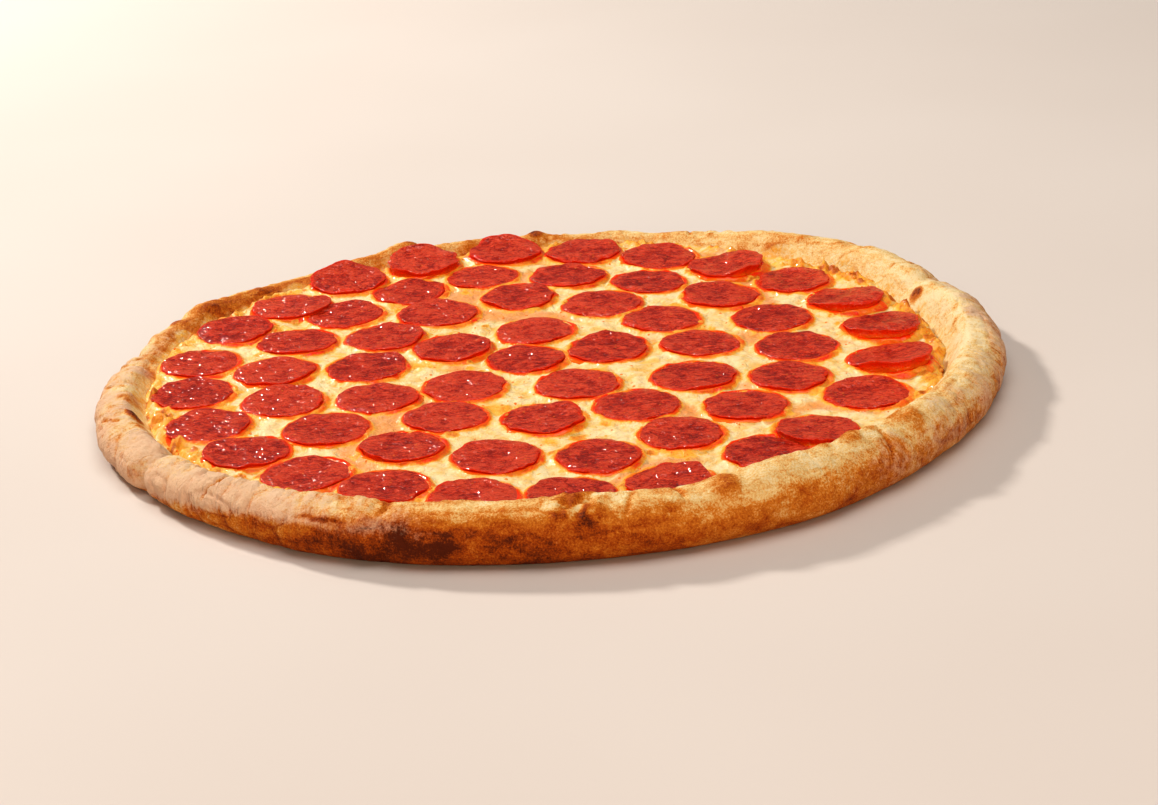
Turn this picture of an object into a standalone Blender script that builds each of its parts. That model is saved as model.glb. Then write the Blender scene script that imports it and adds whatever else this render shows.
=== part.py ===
"""A large round pizza, uncut: a dough base with a puffed rim, melted cheese and rings of sausage slices.

The pizza lies flat on its base. The frame's origin is the middle of its outline at the height of the base,
+Z is up and -Y is the near side, where the rim is at its tallest.
"""

import math
import random

import bmesh
import bpy
from mathutils import Vector, noise

MM = 0.001

# Outline and heights
WIDTH = 400 * MM
DEPTH = 386 * MM
FLOOR = 4.5 * MM
CHEESE_TOP = 9 * MM

# Where the rings of slices have their middle
TOPPING_X = -7 * MM
TOPPING_Y = 9 * MM

# Rim, as its lowest and highest values round the pizza
CREST_HEIGHT = (13.5 * MM, 22 * MM)
CREST_INSET = (9 * MM, 15 * MM)
SLOPE_WIDTH = (14 * MM, 17 * MM)
BASE_INSET = 9 * MM
WIDEST_SHARE = 0.42
NARROW_REACH = 184 * MM
WIDE_REACH = 208 * MM
LOWER_PART = 0.2
UPPER_PART = 0.6
CREST_FULLNESS = 0.9
RELIEF_STARTS = 0.15
RELIEF_ENDS = 0.95
RELIEF_FADE = 0.25

# Waves in the outline and the crest: lobes, size, angle of a peak in degrees
OUTLINE_WAVES = ((2, 2.6 * MM, 50), (3, 1.2 * MM, -90), (7, 0.9 * MM, -60))
CREST_WAVES = ((1, 1.2 * MM, -60), (2, 1.2 * MM, -75), (7, 0.5 * MM, 0))

# Puffed places on the rim: angle in degrees, place across the section, radius, height
BUBBLES = (
    (-86, 0.56, 15 * MM, 2.4 * MM),
    (-64, 0.50, 20 * MM, 1.6 * MM),
    (-36, 0.50, 20 * MM, 2.6 * MM),
    (-130, 0.50, 22 * MM, 1.8 * MM),
    (7, 0.62, 22 * MM, 2.4 * MM),
    (30, 0.50, 24 * MM, 2.0 * MM),
    (89, 0.52, 11 * MM, 1.6 * MM),
    (112, 0.50, 16 * MM, 4 * MM),
    (150, 0.56, 16 * MM, 2.0 * MM),
    (178, 0.50, 18 * MM, 1.6 * MM),
    (-157, 0.50, 20 * MM, 2.2 * MM),
)
# Pinched places where two puffed stretches meet: angle in degrees, half width, depth
CREASES = ((-146, 9 * MM, 3 * MM), (-108, 8 * MM, 1.2 * MM), (18, 8 * MM, 1.8 * MM), (168, 8 * MM, 1.8 * MM))
# Uneven swelling between them
LUMP_SIZE = 42 * MM
LUMP_HEIGHT = 1.5 * MM

# Cheese
CHEESE_EDGE = 0.83
CHEESE_EDGE_WAVES = ((4, 0.035, 15), (7, 0.03, 100), (11, 0.02, 50))
CHEESE_OVER_SLOPE = 1.5 * MM
EDGE_THICKNESS = 0.9 * MM
SWELL_SIZE = 75 * MM
SWELL_HEIGHT = 0.8 * MM
BULGE_SLOPE = 0.12
BULGE_HEIGHT = 1.2 * MM
SUPPORT_BLEND = 2.5 * MM
GAP = 0.5 * MM

# Rings of slices: radius, number of slices, angle of the first in degrees, then the waves of a hand-laid
# ring, in its radius and along it: lobes, size, angle of a peak in degrees
RINGS = (
    (3 * MM, 1, 180, (), ()),
    (39 * MM, 5, 83, ((1, 4.3 * MM, -160),), ((1, 3.5 * MM, 60),)),
    (77 * MM, 12, 93, ((1, 3.5 * MM, 131), (2, 3 * MM, -72), (3, 2.7 * MM, -18)), ((1, 4.4 * MM, 34),)),
    (116 * MM, 18, 100, ((2, 1.7 * MM, -63), (4, 1.9 * MM, 11), (6, 2.3 * MM, -19)), ((2, 1.8 * MM, -78),)),
    (153 * MM, 24, 96, ((1, 4.4 * MM, -55), (4, 2 * MM, 8)), ((1, 3.5 * MM, 179), (2, 3.2 * MM, 14))),
)
SLICE_RADIUS = 18.2 * MM
SLICE_THICKNESS = 1.9 * MM
RADIUS_SPREAD = 0.5 * MM
PLACE_SPREAD = 1.5 * MM
SLICE_CLEARANCE = 0.6 * MM
SLICE_GAP = 0.75 * MM
# How far a slice stays flat where the cheese under it isn't, and how steeply a lifted one climbs
SLICE_STIFFNESS = 0.6
LIFT_STEEPNESS = 0.6
LAYOUT_SEED = 541
SHAPE_SEED = 5
SETTLE_ROUNDS = 80
# How far an edge curls up, how far a slice folds and how far it is out of round: the least and the most
CURL = (0.2 * MM, 1.6 * MM)
FOLD = (0.0 * MM, 0.9 * MM)
WOBBLE = (0.2 * MM, 0.7 * MM)
# Pairs that lie one on the other and are one piece: ring and place of the lower one, then of the upper one
PAIRS = (((3, 16), (4, 21)), ((4, 10), (4, 9)))
PAIR_OVERLAP = 6 * MM
PAIR_LIFT = 1.6 * MM
# Slices that cooking has tilted up on one side: ring and place, direction of the side in degrees, height
TILTED = (
    ((4, 3), -10, 2.6 * MM),
    ((4, 5), -55, 3.6 * MM),
    ((4, 6), -65, 4.6 * MM),
    ((4, 7), -45, 3.8 * MM),
)

# Facets
TURNS = 100
RIM_STEPS = 14
SLICE_SIDES = 16
SLICE_INNER_RING = 0.62
CHEESE_RINGS = (20, 39, 58, 77, 96, 116, 136, 147, 158)
CHEESE_LAST_RING = 7 * MM
CHEESE_SLOPE_RING = 0.55

CRUST_COLOUR = (0.66, 0.40, 0.16)
CHEESE_COLOUR = (0.87, 0.70, 0.34)
SLICE_COLOUR = (0.50, 0.055, 0.03)


def clear_scene():
    for obj in list(bpy.data.objects):
        bpy.data.objects.remove(obj)


def make_material(name, colour, roughness):
    material = bpy.data.materials.new(name)
    material.use_nodes = True
    shader = material.node_tree.nodes["Principled BSDF"]
    shader.inputs["Base Color"].default_value = (*colour, 1)
    shader.inputs["Roughness"].default_value = roughness
    shader.inputs["Metallic"].default_value = 0
    return material


def waves(table, turn):
    """The sum of a table's waves at an angle about the toppings' middle."""
    return sum(size * math.cos(lobes * (turn - math.radians(peak))) for lobes, size, peak in table)


def mix(ends, share):
    return ends[0] + (ends[1] - ends[0]) * share


def smooth(share):
    share = min(max(share, 0), 1)
    return share * share * (3 - 2 * share)


def turn_between(a, b):
    """The signed angle from b to a."""
    return (a - b + math.pi) % (2 * math.pi) - math.pi


def outline(turn):
    """How far the rim's outer edge lies from the toppings' middle."""
    reach = (WIDTH + DEPTH) / 4 + (WIDTH - DEPTH) / 4 * math.cos(2 * turn)
    reach -= TOPPING_X * math.cos(turn) + TOPPING_Y * math.sin(turn)
    return reach + waves(OUTLINE_WAVES, turn)


def rim_sizes(turn):
    """Outer edge, crest inset, crest height and slope width at an angle: a wide rim is also a tall one."""
    outer = outline(turn)
    share = smooth((outer - NARROW_REACH) / (WIDE_REACH - NARROW_REACH))
    height = mix(CREST_HEIGHT, share) + waves(CREST_WAVES, turn)
    return outer, mix(CREST_INSET, share), height, mix(SLOPE_WIDTH, share)


def plain_section(turn, place):
    """(reach, height) on the rim's section: 0 is at the base, 1 at the foot of the inner slope."""
    outer, inset, height, slope = rim_sizes(turn)
    widest = WIDEST_SHARE * height
    if place < LOWER_PART:
        angle = (place / LOWER_PART - 1) * math.pi / 2
        return outer - BASE_INSET * (1 - math.cos(angle)), widest * (1 + math.sin(angle))
    if place < UPPER_PART:
        angle = (place - LOWER_PART) / (UPPER_PART - LOWER_PART) * math.pi / 2
        rise = math.sin(angle) ** CREST_FULLNESS
        return outer - inset * (1 - math.cos(angle)), widest + (height - widest) * rise
    share = (place - UPPER_PART) / (1 - UPPER_PART)
    fall = 0.5 + 0.5 * math.cos(math.pi * share)
    return outer - inset - slope * share, FLOOR + (height - FLOOR) * fall


def relief_direction(place):
    """Which way the relief stands out, as (reach, height): sideways low down, up from the crest in."""
    angle = math.pi / 2 * min(max((place - LOWER_PART) / (UPPER_PART - LOWER_PART), 0), 1)
    return math.cos(angle), math.sin(angle)


def rim_relief(turn, place):
    """How far the puffed surface stands out of the plain section."""
    reach, height = plain_section(turn, place)
    point = Vector((reach * math.cos(turn), reach * math.sin(turn), height))
    fade = smooth(place / RELIEF_STARTS) * smooth((RELIEF_ENDS - place) / RELIEF_FADE)
    total = LUMP_HEIGHT * (noise.noise(point / LUMP_SIZE) + 0.5 * noise.noise(point / LUMP_SIZE * 2))
    for angle, across, radius, rise in BUBBLES:
        along = turn_between(turn, math.radians(angle)) * reach
        centre = plain_section(math.radians(angle), across)
        far = math.hypot(along, math.dist(centre, (reach, height)))
        total += rise * smooth(1 - far / radius)
    for angle, half_width, depth in CREASES:
        along = abs(turn_between(turn, math.radians(angle))) * reach
        total -= depth * smooth(1 - along / half_width)
    return total * fade


def rim_point(turn, place, lift=0.0):
    """A point of the rim's surface in the frame, or that far off it."""
    reach, height = plain_section(turn, place)
    out, up = relief_direction(place)
    rise = rim_relief(turn, place) + lift
    return frame_point(turn, reach + out * rise, height + up * rise)


def frame_point(turn, reach, height):
    return Vector((TOPPING_X + reach * math.cos(turn), TOPPING_Y + reach * math.sin(turn), height))


def foot_reach(turn):
    outer, inset, _, slope = rim_sizes(turn)
    return outer - inset - slope


def crust_height(turn, reach):
    """How high the dough stands at a place inside the crest."""
    outer, inset, _, slope = rim_sizes(turn)
    share = min(max((outer - inset - reach) / slope, 0), 1)
    place = UPPER_PART + (1 - UPPER_PART) * share
    return plain_section(turn, place)[1] + rim_relief(turn, place)


def support_height(x, y):
    """The smooth height that the slices lie on: level cheese, which climbs the rim's inner slope."""
    turn = math.atan2(y - TOPPING_Y, x - TOPPING_X)
    reach = math.hypot(x - TOPPING_X, y - TOPPING_Y)
    level = CHEESE_TOP + SWELL_HEIGHT * noise.noise(Vector((x, y, 0)) / SWELL_SIZE)
    slope = crust_height(turn, reach) + CHEESE_OVER_SLOPE
    return 0.5 * (level + slope + math.sqrt((level - slope) ** 2 + SUPPORT_BLEND**2))


def least_apart(one, other):
    """How far apart two slices' middles stay: a pair that lies one on the other is nearer."""
    if (one["key"], other["key"]) in PAIRS or (other["key"], one["key"]) in PAIRS:
        return one["radius"] + other["radius"] - PAIR_OVERLAP
    return one["radius"] + other["radius"] + SLICE_CLEARANCE


def settle(places):
    """Pushes slices apart in the plane until none touches its neighbour, and holds each pair together."""
    for _ in range(SETTLE_ROUNDS):
        for i, one in enumerate(places):
            for other in places[i + 1 :]:
                apart = one["centre"] - other["centre"]
                least = least_apart(one, other)
                paired = least < one["radius"] + other["radius"]
                if apart.length < least or paired:
                    push = apart.normalized() * (least - apart.length) / 2
                    one["centre"] += push
                    other["centre"] -= push


def lay_flat(place):
    """Finds the level and tilt of the plane that a slice would lie in if it didn't bend."""
    angles = [2 * math.pi * i / SLICE_SIDES for i in range(SLICE_SIDES)]
    outs = [Vector((math.cos(angle), math.sin(angle))) for angle in angles]
    heights = [support_height(*(place["centre"] + out * place["radius"])) for out in outs]
    middle = support_height(*place["centre"])
    pulls = [out * height for out, height in zip(outs, heights)]
    place["tilt"] = sum(pulls, Vector((0, 0))) * 2 / SLICE_SIDES
    level = (sum(heights) / SLICE_SIDES + middle) / 2
    short = max(height - level - place["tilt"].dot(out) for out, height in zip(outs, heights))
    place["level"] = level + max(short, middle - level)


def slice_places():
    """Where each slice lies and how large it is, ring by ring and clockwise from the far side."""
    rng = random.Random(LAYOUT_SEED)
    places = []
    for ring, (reach, count, first, in_and_out, along) in enumerate(RINGS):
        for number in range(count):
            even = math.radians(first - 360 * number / count)
            turn = even + waves(along, even) / reach
            centre = frame_point(turn, reach + waves(in_and_out, even), 0).xy
            centre += Vector((rng.uniform(-1, 1), rng.uniform(-1, 1))) * PLACE_SPREAD
            radius = SLICE_RADIUS + rng.uniform(-1, 1) * RADIUS_SPREAD
            places.append({"key": (ring, number), "centre": centre, "radius": radius, "lifts": []})
    settle(places)
    by_key = {place["key"]: place for place in places}
    for low_key, high_key in PAIRS:
        low, high = by_key[low_key], by_key[high_key]
        high["lifts"].append(((low["centre"] - high["centre"]).normalized(), PAIR_LIFT))
    for key, angle, lift in TILTED:
        direction = Vector((math.cos(math.radians(angle)), math.sin(math.radians(angle))))
        by_key[key]["lifts"].append((direction, lift))
    for place in places:
        lay_flat(place)
    return places


def slice_shapes(places):
    """Adds each slice's own curl and wobble."""
    rng = random.Random(SHAPE_SEED)
    for place in places:
        place["curl"] = rng.uniform(*CURL)
        place["curl_turn"] = rng.uniform(0, 2 * math.pi)
        place["fold"] = rng.uniform(*FOLD)
        place["fold_turn"] = rng.uniform(0, math.pi)
        place["wobble"] = rng.uniform(*WOBBLE)
        place["wobble_turn"] = rng.uniform(0, 2 * math.pi)
    return places


def slice_edge(place, angle):
    """A slice's radius at an angle: a circle that cooking has pulled a little out of round."""
    turn = place["wobble_turn"]
    wobble = math.cos(2 * (angle - turn)) + 0.5 * math.cos(3 * angle + turn) - 1
    return place["radius"] + 0.5 * place["wobble"] * wobble


def slice_point(place, angle, share, top):
    """A point of a slice at a share of its radius, on its upper or lower face."""
    out = Vector((math.cos(angle), math.sin(angle)))
    spot = place["centre"] + out * slice_edge(place, angle) * share
    curl = place["curl"] * share**3 * (0.5 + 0.5 * math.cos(angle - place["curl_turn"]))
    fold = place["fold"] * share**2 * (0.5 + 0.5 * math.cos(2 * (angle - place["fold_turn"])))
    offset = (spot - place["centre"]) / place["radius"]
    plane = place["level"] + place["tilt"].dot(offset)
    height = mix((support_height(*spot), plane), SLICE_STIFFNESS) + SLICE_GAP + curl + fold
    for direction, lift in place["lifts"]:
        height += lift * smooth(0.5 + LIFT_STEEPNESS * direction.dot(offset))
    return Vector((*spot, height + (SLICE_THICKNESS if top else 0)))


def closed_body(name, loops, low_pole, high_pole, material):
    """A closed mesh object from rings of points that follow each other, each end closed on one point."""
    mesh = bmesh.new()
    rows = [[mesh.verts.new(point) for point in loop] for loop in loops]
    for low, high in zip(rows, rows[1:]):
        for i in range(len(low)):
            j = (i + 1) % len(low)
            mesh.faces.new((low[i], low[j], high[j], high[i]))
    for pole, row in ((low_pole, rows[0]), (high_pole, rows[-1])):
        middle = mesh.verts.new(pole)
        for i in range(len(row)):
            mesh.faces.new((row[i], row[(i + 1) % len(row)], middle))
    bmesh.ops.recalc_face_normals(mesh, faces=mesh.faces)
    bmesh.ops.triangulate(mesh, faces=[face for face in mesh.faces if len(face.verts) > 3])
    data = bpy.data.meshes.new(name)
    mesh.to_mesh(data)
    mesh.free()
    data.shade_smooth()
    data.materials.append(material)
    obj = bpy.data.objects.new(name, data)
    bpy.context.scene.collection.objects.link(obj)
    return obj


def turns():
    return [2 * math.pi * i / TURNS for i in range(TURNS)]


def make_crust(material):
    """The dough: a thin flat base inside a puffed rim, as one piece."""
    places = [i / (RIM_STEPS - 1) for i in range(RIM_STEPS)]
    loops = [[rim_point(turn, place) for turn in turns()] for place in places]
    return closed_body("crust", loops, frame_point(0, 0, 0), frame_point(0, 0, FLOOR), material)


def cheese_height(x, y, places):
    """The cheese's upper face: it swells a little where no slice presses on it."""
    clear = min((Vector((x, y)) - place["centre"]).length - place["radius"] for place in places)
    return support_height(x, y) + min(max(clear * BULGE_SLOPE, 0), BULGE_HEIGHT)


def cheese_edge_place(turn):
    return CHEESE_EDGE + waves(CHEESE_EDGE_WAVES, turn)


def make_cheese(places, material):
    """The melted cheese with the sauce in it: it fills the base and climbs the rim's inner slope."""
    under = []
    for share in (0, 0.5, 1):
        loop = [rim_point(turn, 1 + (cheese_edge_place(turn) - 1) * share, GAP) for turn in turns()]
        under.append(loop)
    over = [[rim_point(turn, cheese_edge_place(turn), GAP + EDGE_THICKNESS) for turn in turns()]]
    inner = [frame_point(turn, foot_reach(turn) - CHEESE_LAST_RING, 0) for turn in turns()]
    middle = [a.lerp(b, CHEESE_SLOPE_RING) for a, b in zip(inner, over[0])]
    rings = [[frame_point(turn, reach * MM, 0) for turn in turns()] for reach in reversed(CHEESE_RINGS)]
    for ring in [middle, inner, *rings]:
        over.append([Vector((p.x, p.y, cheese_height(p.x, p.y, places))) for p in ring])
    centre = frame_point(0, 0, 0)
    top = Vector((centre.x, centre.y, cheese_height(centre.x, centre.y, places)))
    low = frame_point(0, 0, FLOOR + GAP)
    return closed_body("cheese", under + over, low, top, material)


def make_slice(name, place, material):
    """One round slice: a thin disc that lies on the cheese, with its edge a little curled."""
    angles = [2 * math.pi * i / SLICE_SIDES for i in range(SLICE_SIDES)]
    levels = ((SLICE_INNER_RING, False), (1, False), (1, True), (SLICE_INNER_RING, True))
    loops = [[slice_point(place, angle, share, top) for angle in angles] for share, top in levels]
    poles = [slice_point(place, 0, 0, top) for top in (False, True)]
    return closed_body(name, loops, *poles, material)


def join_pair(low, high):
    """Makes two slices that lie one on the other into one piece."""
    union = low.modifiers.new("join", "BOOLEAN")
    union.operation = "UNION"
    union.object = high
    high.hide_render = True
    high.display_type = "WIRE"


def make_slices(places, material):
    objects = {}
    for place in places:
        ring, number = place["key"]
        name = f"slice_{ring}_{number + 1:02d}"
        objects[place["key"]] = make_slice(name, place, material)
    for low_key, high_key in PAIRS:
        join_pair(objects[low_key], objects[high_key])
        objects[low_key].name = "slice_pair_{}_{:02d}".format(low_key[0], low_key[1] + 1)


def main():
    clear_scene()
    crust_finish = make_material("baked_dough", CRUST_COLOUR, 0.8)
    cheese_finish = make_material("melted_cheese", CHEESE_COLOUR, 0.4)
    slice_finish = make_material("cured_sausage", SLICE_COLOUR, 0.35)
    places = slice_shapes(slice_places())
    make_crust(crust_finish)
    make_cheese(places, cheese_finish)
    make_slices(places, slice_finish)


main()
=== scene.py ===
import math
import random

import bpy
import numpy as np
from mathutils import Matrix, Vector, noise


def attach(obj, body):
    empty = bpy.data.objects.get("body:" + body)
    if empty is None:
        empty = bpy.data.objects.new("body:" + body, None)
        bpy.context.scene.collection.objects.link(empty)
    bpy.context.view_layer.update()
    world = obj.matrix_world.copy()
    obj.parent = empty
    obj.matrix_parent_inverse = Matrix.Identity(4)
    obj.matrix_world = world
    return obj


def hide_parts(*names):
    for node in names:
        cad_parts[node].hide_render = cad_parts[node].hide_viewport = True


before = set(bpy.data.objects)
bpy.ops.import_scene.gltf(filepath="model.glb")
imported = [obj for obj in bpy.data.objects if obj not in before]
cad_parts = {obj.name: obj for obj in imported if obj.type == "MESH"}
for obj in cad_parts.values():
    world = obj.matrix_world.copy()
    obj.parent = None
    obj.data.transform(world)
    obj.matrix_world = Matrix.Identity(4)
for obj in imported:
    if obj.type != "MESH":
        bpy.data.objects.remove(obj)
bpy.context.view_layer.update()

bl_info = {
    "name": "Round Pizza",
    "version": (1, 0, 0),
    "blender": (4, 5, 0),
    "location": "3D View > Sidebar > Pizza",
    "description": "Dresses a whole round pizza: baked dough, melted cheese, sausage slices, oil, flour and crumbs",
    "category": "Add Mesh",
}

MM = 0.001

# Outline and heights
WIDTH = 400 * MM
DEPTH = 386 * MM
FLOOR = 4.5 * MM
CHEESE_TOP = 9 * MM

# Where the rings of slices have their middle
TOPPING_X = -7 * MM
TOPPING_Y = 9 * MM

# Rim, as its lowest and highest values round the pizza
CREST_HEIGHT = (13.5 * MM, 22 * MM)
CREST_INSET = (9 * MM, 15 * MM)
SLOPE_WIDTH = (14 * MM, 17 * MM)
BASE_INSET = 9 * MM
WIDEST_SHARE = 0.42
NARROW_REACH = 184 * MM
WIDE_REACH = 208 * MM
LOWER_PART = 0.2
UPPER_PART = 0.6
CREST_FULLNESS = 0.9
RELIEF_STARTS = 0.15
RELIEF_ENDS = 0.95
RELIEF_FADE = 0.25

# Waves in the outline and the crest: lobes, size, angle of a peak in degrees
OUTLINE_WAVES = ((2, 2.6 * MM, 50), (3, 1.2 * MM, -90), (7, 0.9 * MM, -60))
CREST_WAVES = ((1, 1.2 * MM, -60), (2, 1.2 * MM, -75), (7, 0.5 * MM, 0))

# Puffed places on the rim: angle in degrees, place across the section, radius, height
BUBBLES = (
    (-86, 0.56, 15 * MM, 2.4 * MM),
    (-64, 0.50, 20 * MM, 1.6 * MM),
    (-36, 0.50, 20 * MM, 2.6 * MM),
    (-130, 0.50, 22 * MM, 1.8 * MM),
    (7, 0.62, 22 * MM, 2.4 * MM),
    (30, 0.50, 24 * MM, 2.0 * MM),
    (89, 0.52, 11 * MM, 1.6 * MM),
    (112, 0.50, 16 * MM, 4 * MM),
    (150, 0.56, 16 * MM, 2.0 * MM),
    (178, 0.50, 18 * MM, 1.6 * MM),
    (-157, 0.50, 20 * MM, 2.2 * MM),
)
# Pinched places where two puffed stretches meet: angle in degrees, half width, depth
CREASES = (
    (-146, 9 * MM, 3 * MM),
    (-108, 8 * MM, 1.2 * MM),
    (18, 8 * MM, 1.8 * MM),
    (168, 8 * MM, 1.8 * MM),
)
LUMP_SIZE = 42 * MM
LUMP_HEIGHT = 1.5 * MM
# Rough radius of the rim and length of its section, for the noise that follows it
RIM_RADIUS = 198 * MM
RIM_SECTION = 52 * MM

# Cheese
CHEESE_EDGE = 0.83
CHEESE_EDGE_WAVES = ((4, 0.035, 15), (7, 0.03, 100), (11, 0.02, 50))
CHEESE_OVER_SLOPE = 1.5 * MM
SWELL_SIZE = 75 * MM
SWELL_HEIGHT = 0.8 * MM
BULGE_SLOPE = 0.12
BULGE_HEIGHT = 1.2 * MM
SUPPORT_BLEND = 2.5 * MM

# Rings of slices: radius, number of slices, angle of the first in degrees, then the waves of a hand-laid
# ring, in its radius and along it: lobes, size, angle of a peak in degrees
RINGS = (
    (3 * MM, 1, 180, (), ()),
    (39 * MM, 5, 83, ((1, 4.3 * MM, -160),), ((1, 3.5 * MM, 60),)),
    (77 * MM, 12, 93, ((1, 3.5 * MM, 131), (2, 3 * MM, -72), (3, 2.7 * MM, -18)), ((1, 4.4 * MM, 34),)),
    (116 * MM, 18, 100, ((2, 1.7 * MM, -63), (4, 1.9 * MM, 11), (6, 2.3 * MM, -19)), ((2, 1.8 * MM, -78),)),
    (153 * MM, 24, 96, ((1, 4.4 * MM, -55), (4, 2 * MM, 8)), ((1, 3.5 * MM, 179), (2, 3.2 * MM, 14))),
)
SLICE_RADIUS = 18.2 * MM
SLICE_THICKNESS = 1.9 * MM
RADIUS_SPREAD = 0.5 * MM
PLACE_SPREAD = 1.5 * MM
SLICE_CLEARANCE = 0.6 * MM
SLICE_GAP = 0.75 * MM
SLICE_STIFFNESS = 0.6
LIFT_STEEPNESS = 0.6
LAYOUT_SEED = 541
SHAPE_SEED = 5
SETTLE_ROUNDS = 80
CURL = (0.2 * MM, 1.6 * MM)
FOLD = (0.0 * MM, 0.9 * MM)
WOBBLE = (0.2 * MM, 0.7 * MM)
# Pairs that lie one on the other: ring and place of the lower one, then of the upper one
PAIRS = (((3, 16), (4, 21)), ((4, 10), (4, 9)))
PAIR_OVERLAP = 6 * MM
PAIR_LIFT = 1.6 * MM
# Slices that cooking has tilted up on one side: ring and place, direction of the side in degrees, height
TILTED = (
    ((4, 3), -10, 2.6 * MM),
    ((4, 5), -55, 3.6 * MM),
    ((4, 6), -65, 4.6 * MM),
    ((4, 7), -45, 3.8 * MM),
)
SAMPLES_ROUND_SLICE = 16

# Fineness of the meshes
DOUGH_TURNS = 1360
DOUGH_STEPS = 66
CHEESE_RINGS = 172
SLICE_TURNS = 120


def waves(table, turn):
    """The sum of a table's waves at an angle about the toppings' middle."""
    return sum(size * np.cos(lobes * (turn - math.radians(peak))) for lobes, size, peak in table)


def mix(ends, share):
    return ends[0] + (ends[1] - ends[0]) * share


def smooth(share):
    share = np.clip(share, 0, 1)
    return share * share * (3 - 2 * share)


def turn_between(a, b):
    """The signed angle from b to a."""
    return (a - b + math.pi) % (2 * math.pi) - math.pi


def even_turns(count):
    """Angles that go once round in even steps."""
    return np.linspace(-math.pi, math.pi, count, endpoint=False)


def noise_at(points, size, shift=0.0):
    """Smooth noise between about -1 and 1 at an array of points."""
    places = np.asarray(points).reshape(-1, 3) / size + shift
    values = np.array([noise.noise(place) for place in places.tolist()])
    return values.reshape(np.shape(points)[:-1])


def strip_noise(turn, place, along, across, shift=0.0):
    """Noise on the rim with its own size round the rim and across it."""
    points = np.stack((np.cos(turn) * RIM_RADIUS / along, np.sin(turn) * RIM_RADIUS / along,
                       place * RIM_SECTION / across), axis=-1)
    return noise_at(points, 1.0, shift)


def frame_point(turn, reach, height):
    """Points of the frame at an angle and distance from the toppings' middle."""
    turn, reach, height = np.broadcast_arrays(turn, reach, height)
    return np.stack((TOPPING_X + reach * np.cos(turn), TOPPING_Y + reach * np.sin(turn), height), axis=-1)


def turn_and_reach(x, y):
    """The angle and distance of points from the toppings' middle."""
    return np.arctan2(y - TOPPING_Y, x - TOPPING_X), np.hypot(x - TOPPING_X, y - TOPPING_Y)


def on_plane(x, y):
    """Points at height 0."""
    return np.stack((x, y, np.zeros_like(x)), axis=-1)


def outline(turn):
    """How far the rim's outer edge lies from the toppings' middle."""
    reach = (WIDTH + DEPTH) / 4 + (WIDTH - DEPTH) / 4 * np.cos(2 * turn)
    reach = reach - TOPPING_X * np.cos(turn) - TOPPING_Y * np.sin(turn)
    return reach + waves(OUTLINE_WAVES, turn)


def rim_sizes(turn):
    """Outer edge, crest inset, crest height and slope width at an angle: a wide rim is also a tall one."""
    outer = outline(turn)
    share = smooth((outer - NARROW_REACH) / (WIDE_REACH - NARROW_REACH))
    height = mix(CREST_HEIGHT, share) + waves(CREST_WAVES, turn)
    return outer, mix(CREST_INSET, share), height, mix(SLOPE_WIDTH, share)


def plain_section(turn, place):
    """(reach, height) on the rim's section: 0 is at the base, 1 at the foot of the inner slope."""
    outer, inset, height, slope = rim_sizes(turn)
    widest = WIDEST_SHARE * height
    low = (place / LOWER_PART - 1) * math.pi / 2
    middle = np.clip((place - LOWER_PART) / (UPPER_PART - LOWER_PART), 0, 1) * math.pi / 2
    share = np.clip((place - UPPER_PART) / (1 - UPPER_PART), 0, 1)
    reach = outer - inset - slope * share
    reach = np.where(place < UPPER_PART, outer - inset * (1 - np.cos(middle)), reach)
    reach = np.where(place < LOWER_PART, outer - BASE_INSET * (1 - np.cos(low)), reach)
    level = FLOOR + (height - FLOOR) * (0.5 + 0.5 * np.cos(math.pi * share))
    level = np.where(place < UPPER_PART, widest + (height - widest) * np.sin(middle) ** CREST_FULLNESS, level)
    level = np.where(place < LOWER_PART, widest * (1 + np.sin(low)), level)
    return reach, level


def relief_direction(place):
    """Which way the relief stands out, as (reach, height): sideways low down, up from the crest in."""
    angle = math.pi / 2 * np.clip((place - LOWER_PART) / (UPPER_PART - LOWER_PART), 0, 1)
    return np.cos(angle), np.sin(angle)


def along_and_across(turn, place, angle, across):
    """How far a point of the rim lies from a spot on it, in metres round the rim and across it."""
    reach, height = plain_section(turn, place)
    along = turn_between(turn, math.radians(angle)) * reach
    centre = plain_section(np.float64(math.radians(angle)), np.float64(across))
    return along, np.hypot(reach - centre[0], height - centre[1]) * np.sign(place - across)


def relief_fade(place):
    """How strongly the relief shows across the rim: it dies out at the base and at the inner foot."""
    return smooth(place / RELIEF_STARTS) * smooth((RELIEF_ENDS - place) / RELIEF_FADE)


def rim_relief(turn, place):
    """How far the puffed surface stands out of the plain section."""
    reach, height = plain_section(turn, place)
    point = np.stack((reach * np.cos(turn), reach * np.sin(turn), height), axis=-1)
    total = LUMP_HEIGHT * (noise_at(point, LUMP_SIZE) + 0.5 * noise_at(point, LUMP_SIZE / 2))
    for angle, across, radius, rise in BUBBLES:
        along, side = along_and_across(turn, place, angle, across)
        total += rise * smooth(1 - np.hypot(along, side) / radius)
    for angle, half_width, depth in CREASES:
        along = np.abs(turn_between(turn, math.radians(angle))) * reach
        total -= depth * smooth(1 - along / half_width)
    return total * relief_fade(place)


def crust_height(turn, reach):
    """How high the dough stands at a place inside the crest."""
    outer, inset, _, slope = rim_sizes(turn)
    share = np.clip((outer - inset - reach) / slope, 0, 1)
    place = UPPER_PART + (1 - UPPER_PART) * share
    height = plain_section(turn, place)[1]
    on_slope = share < 1
    relief = np.zeros(np.shape(height))
    relief[on_slope] = rim_relief(turn[on_slope], place[on_slope])
    return height + relief


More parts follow.
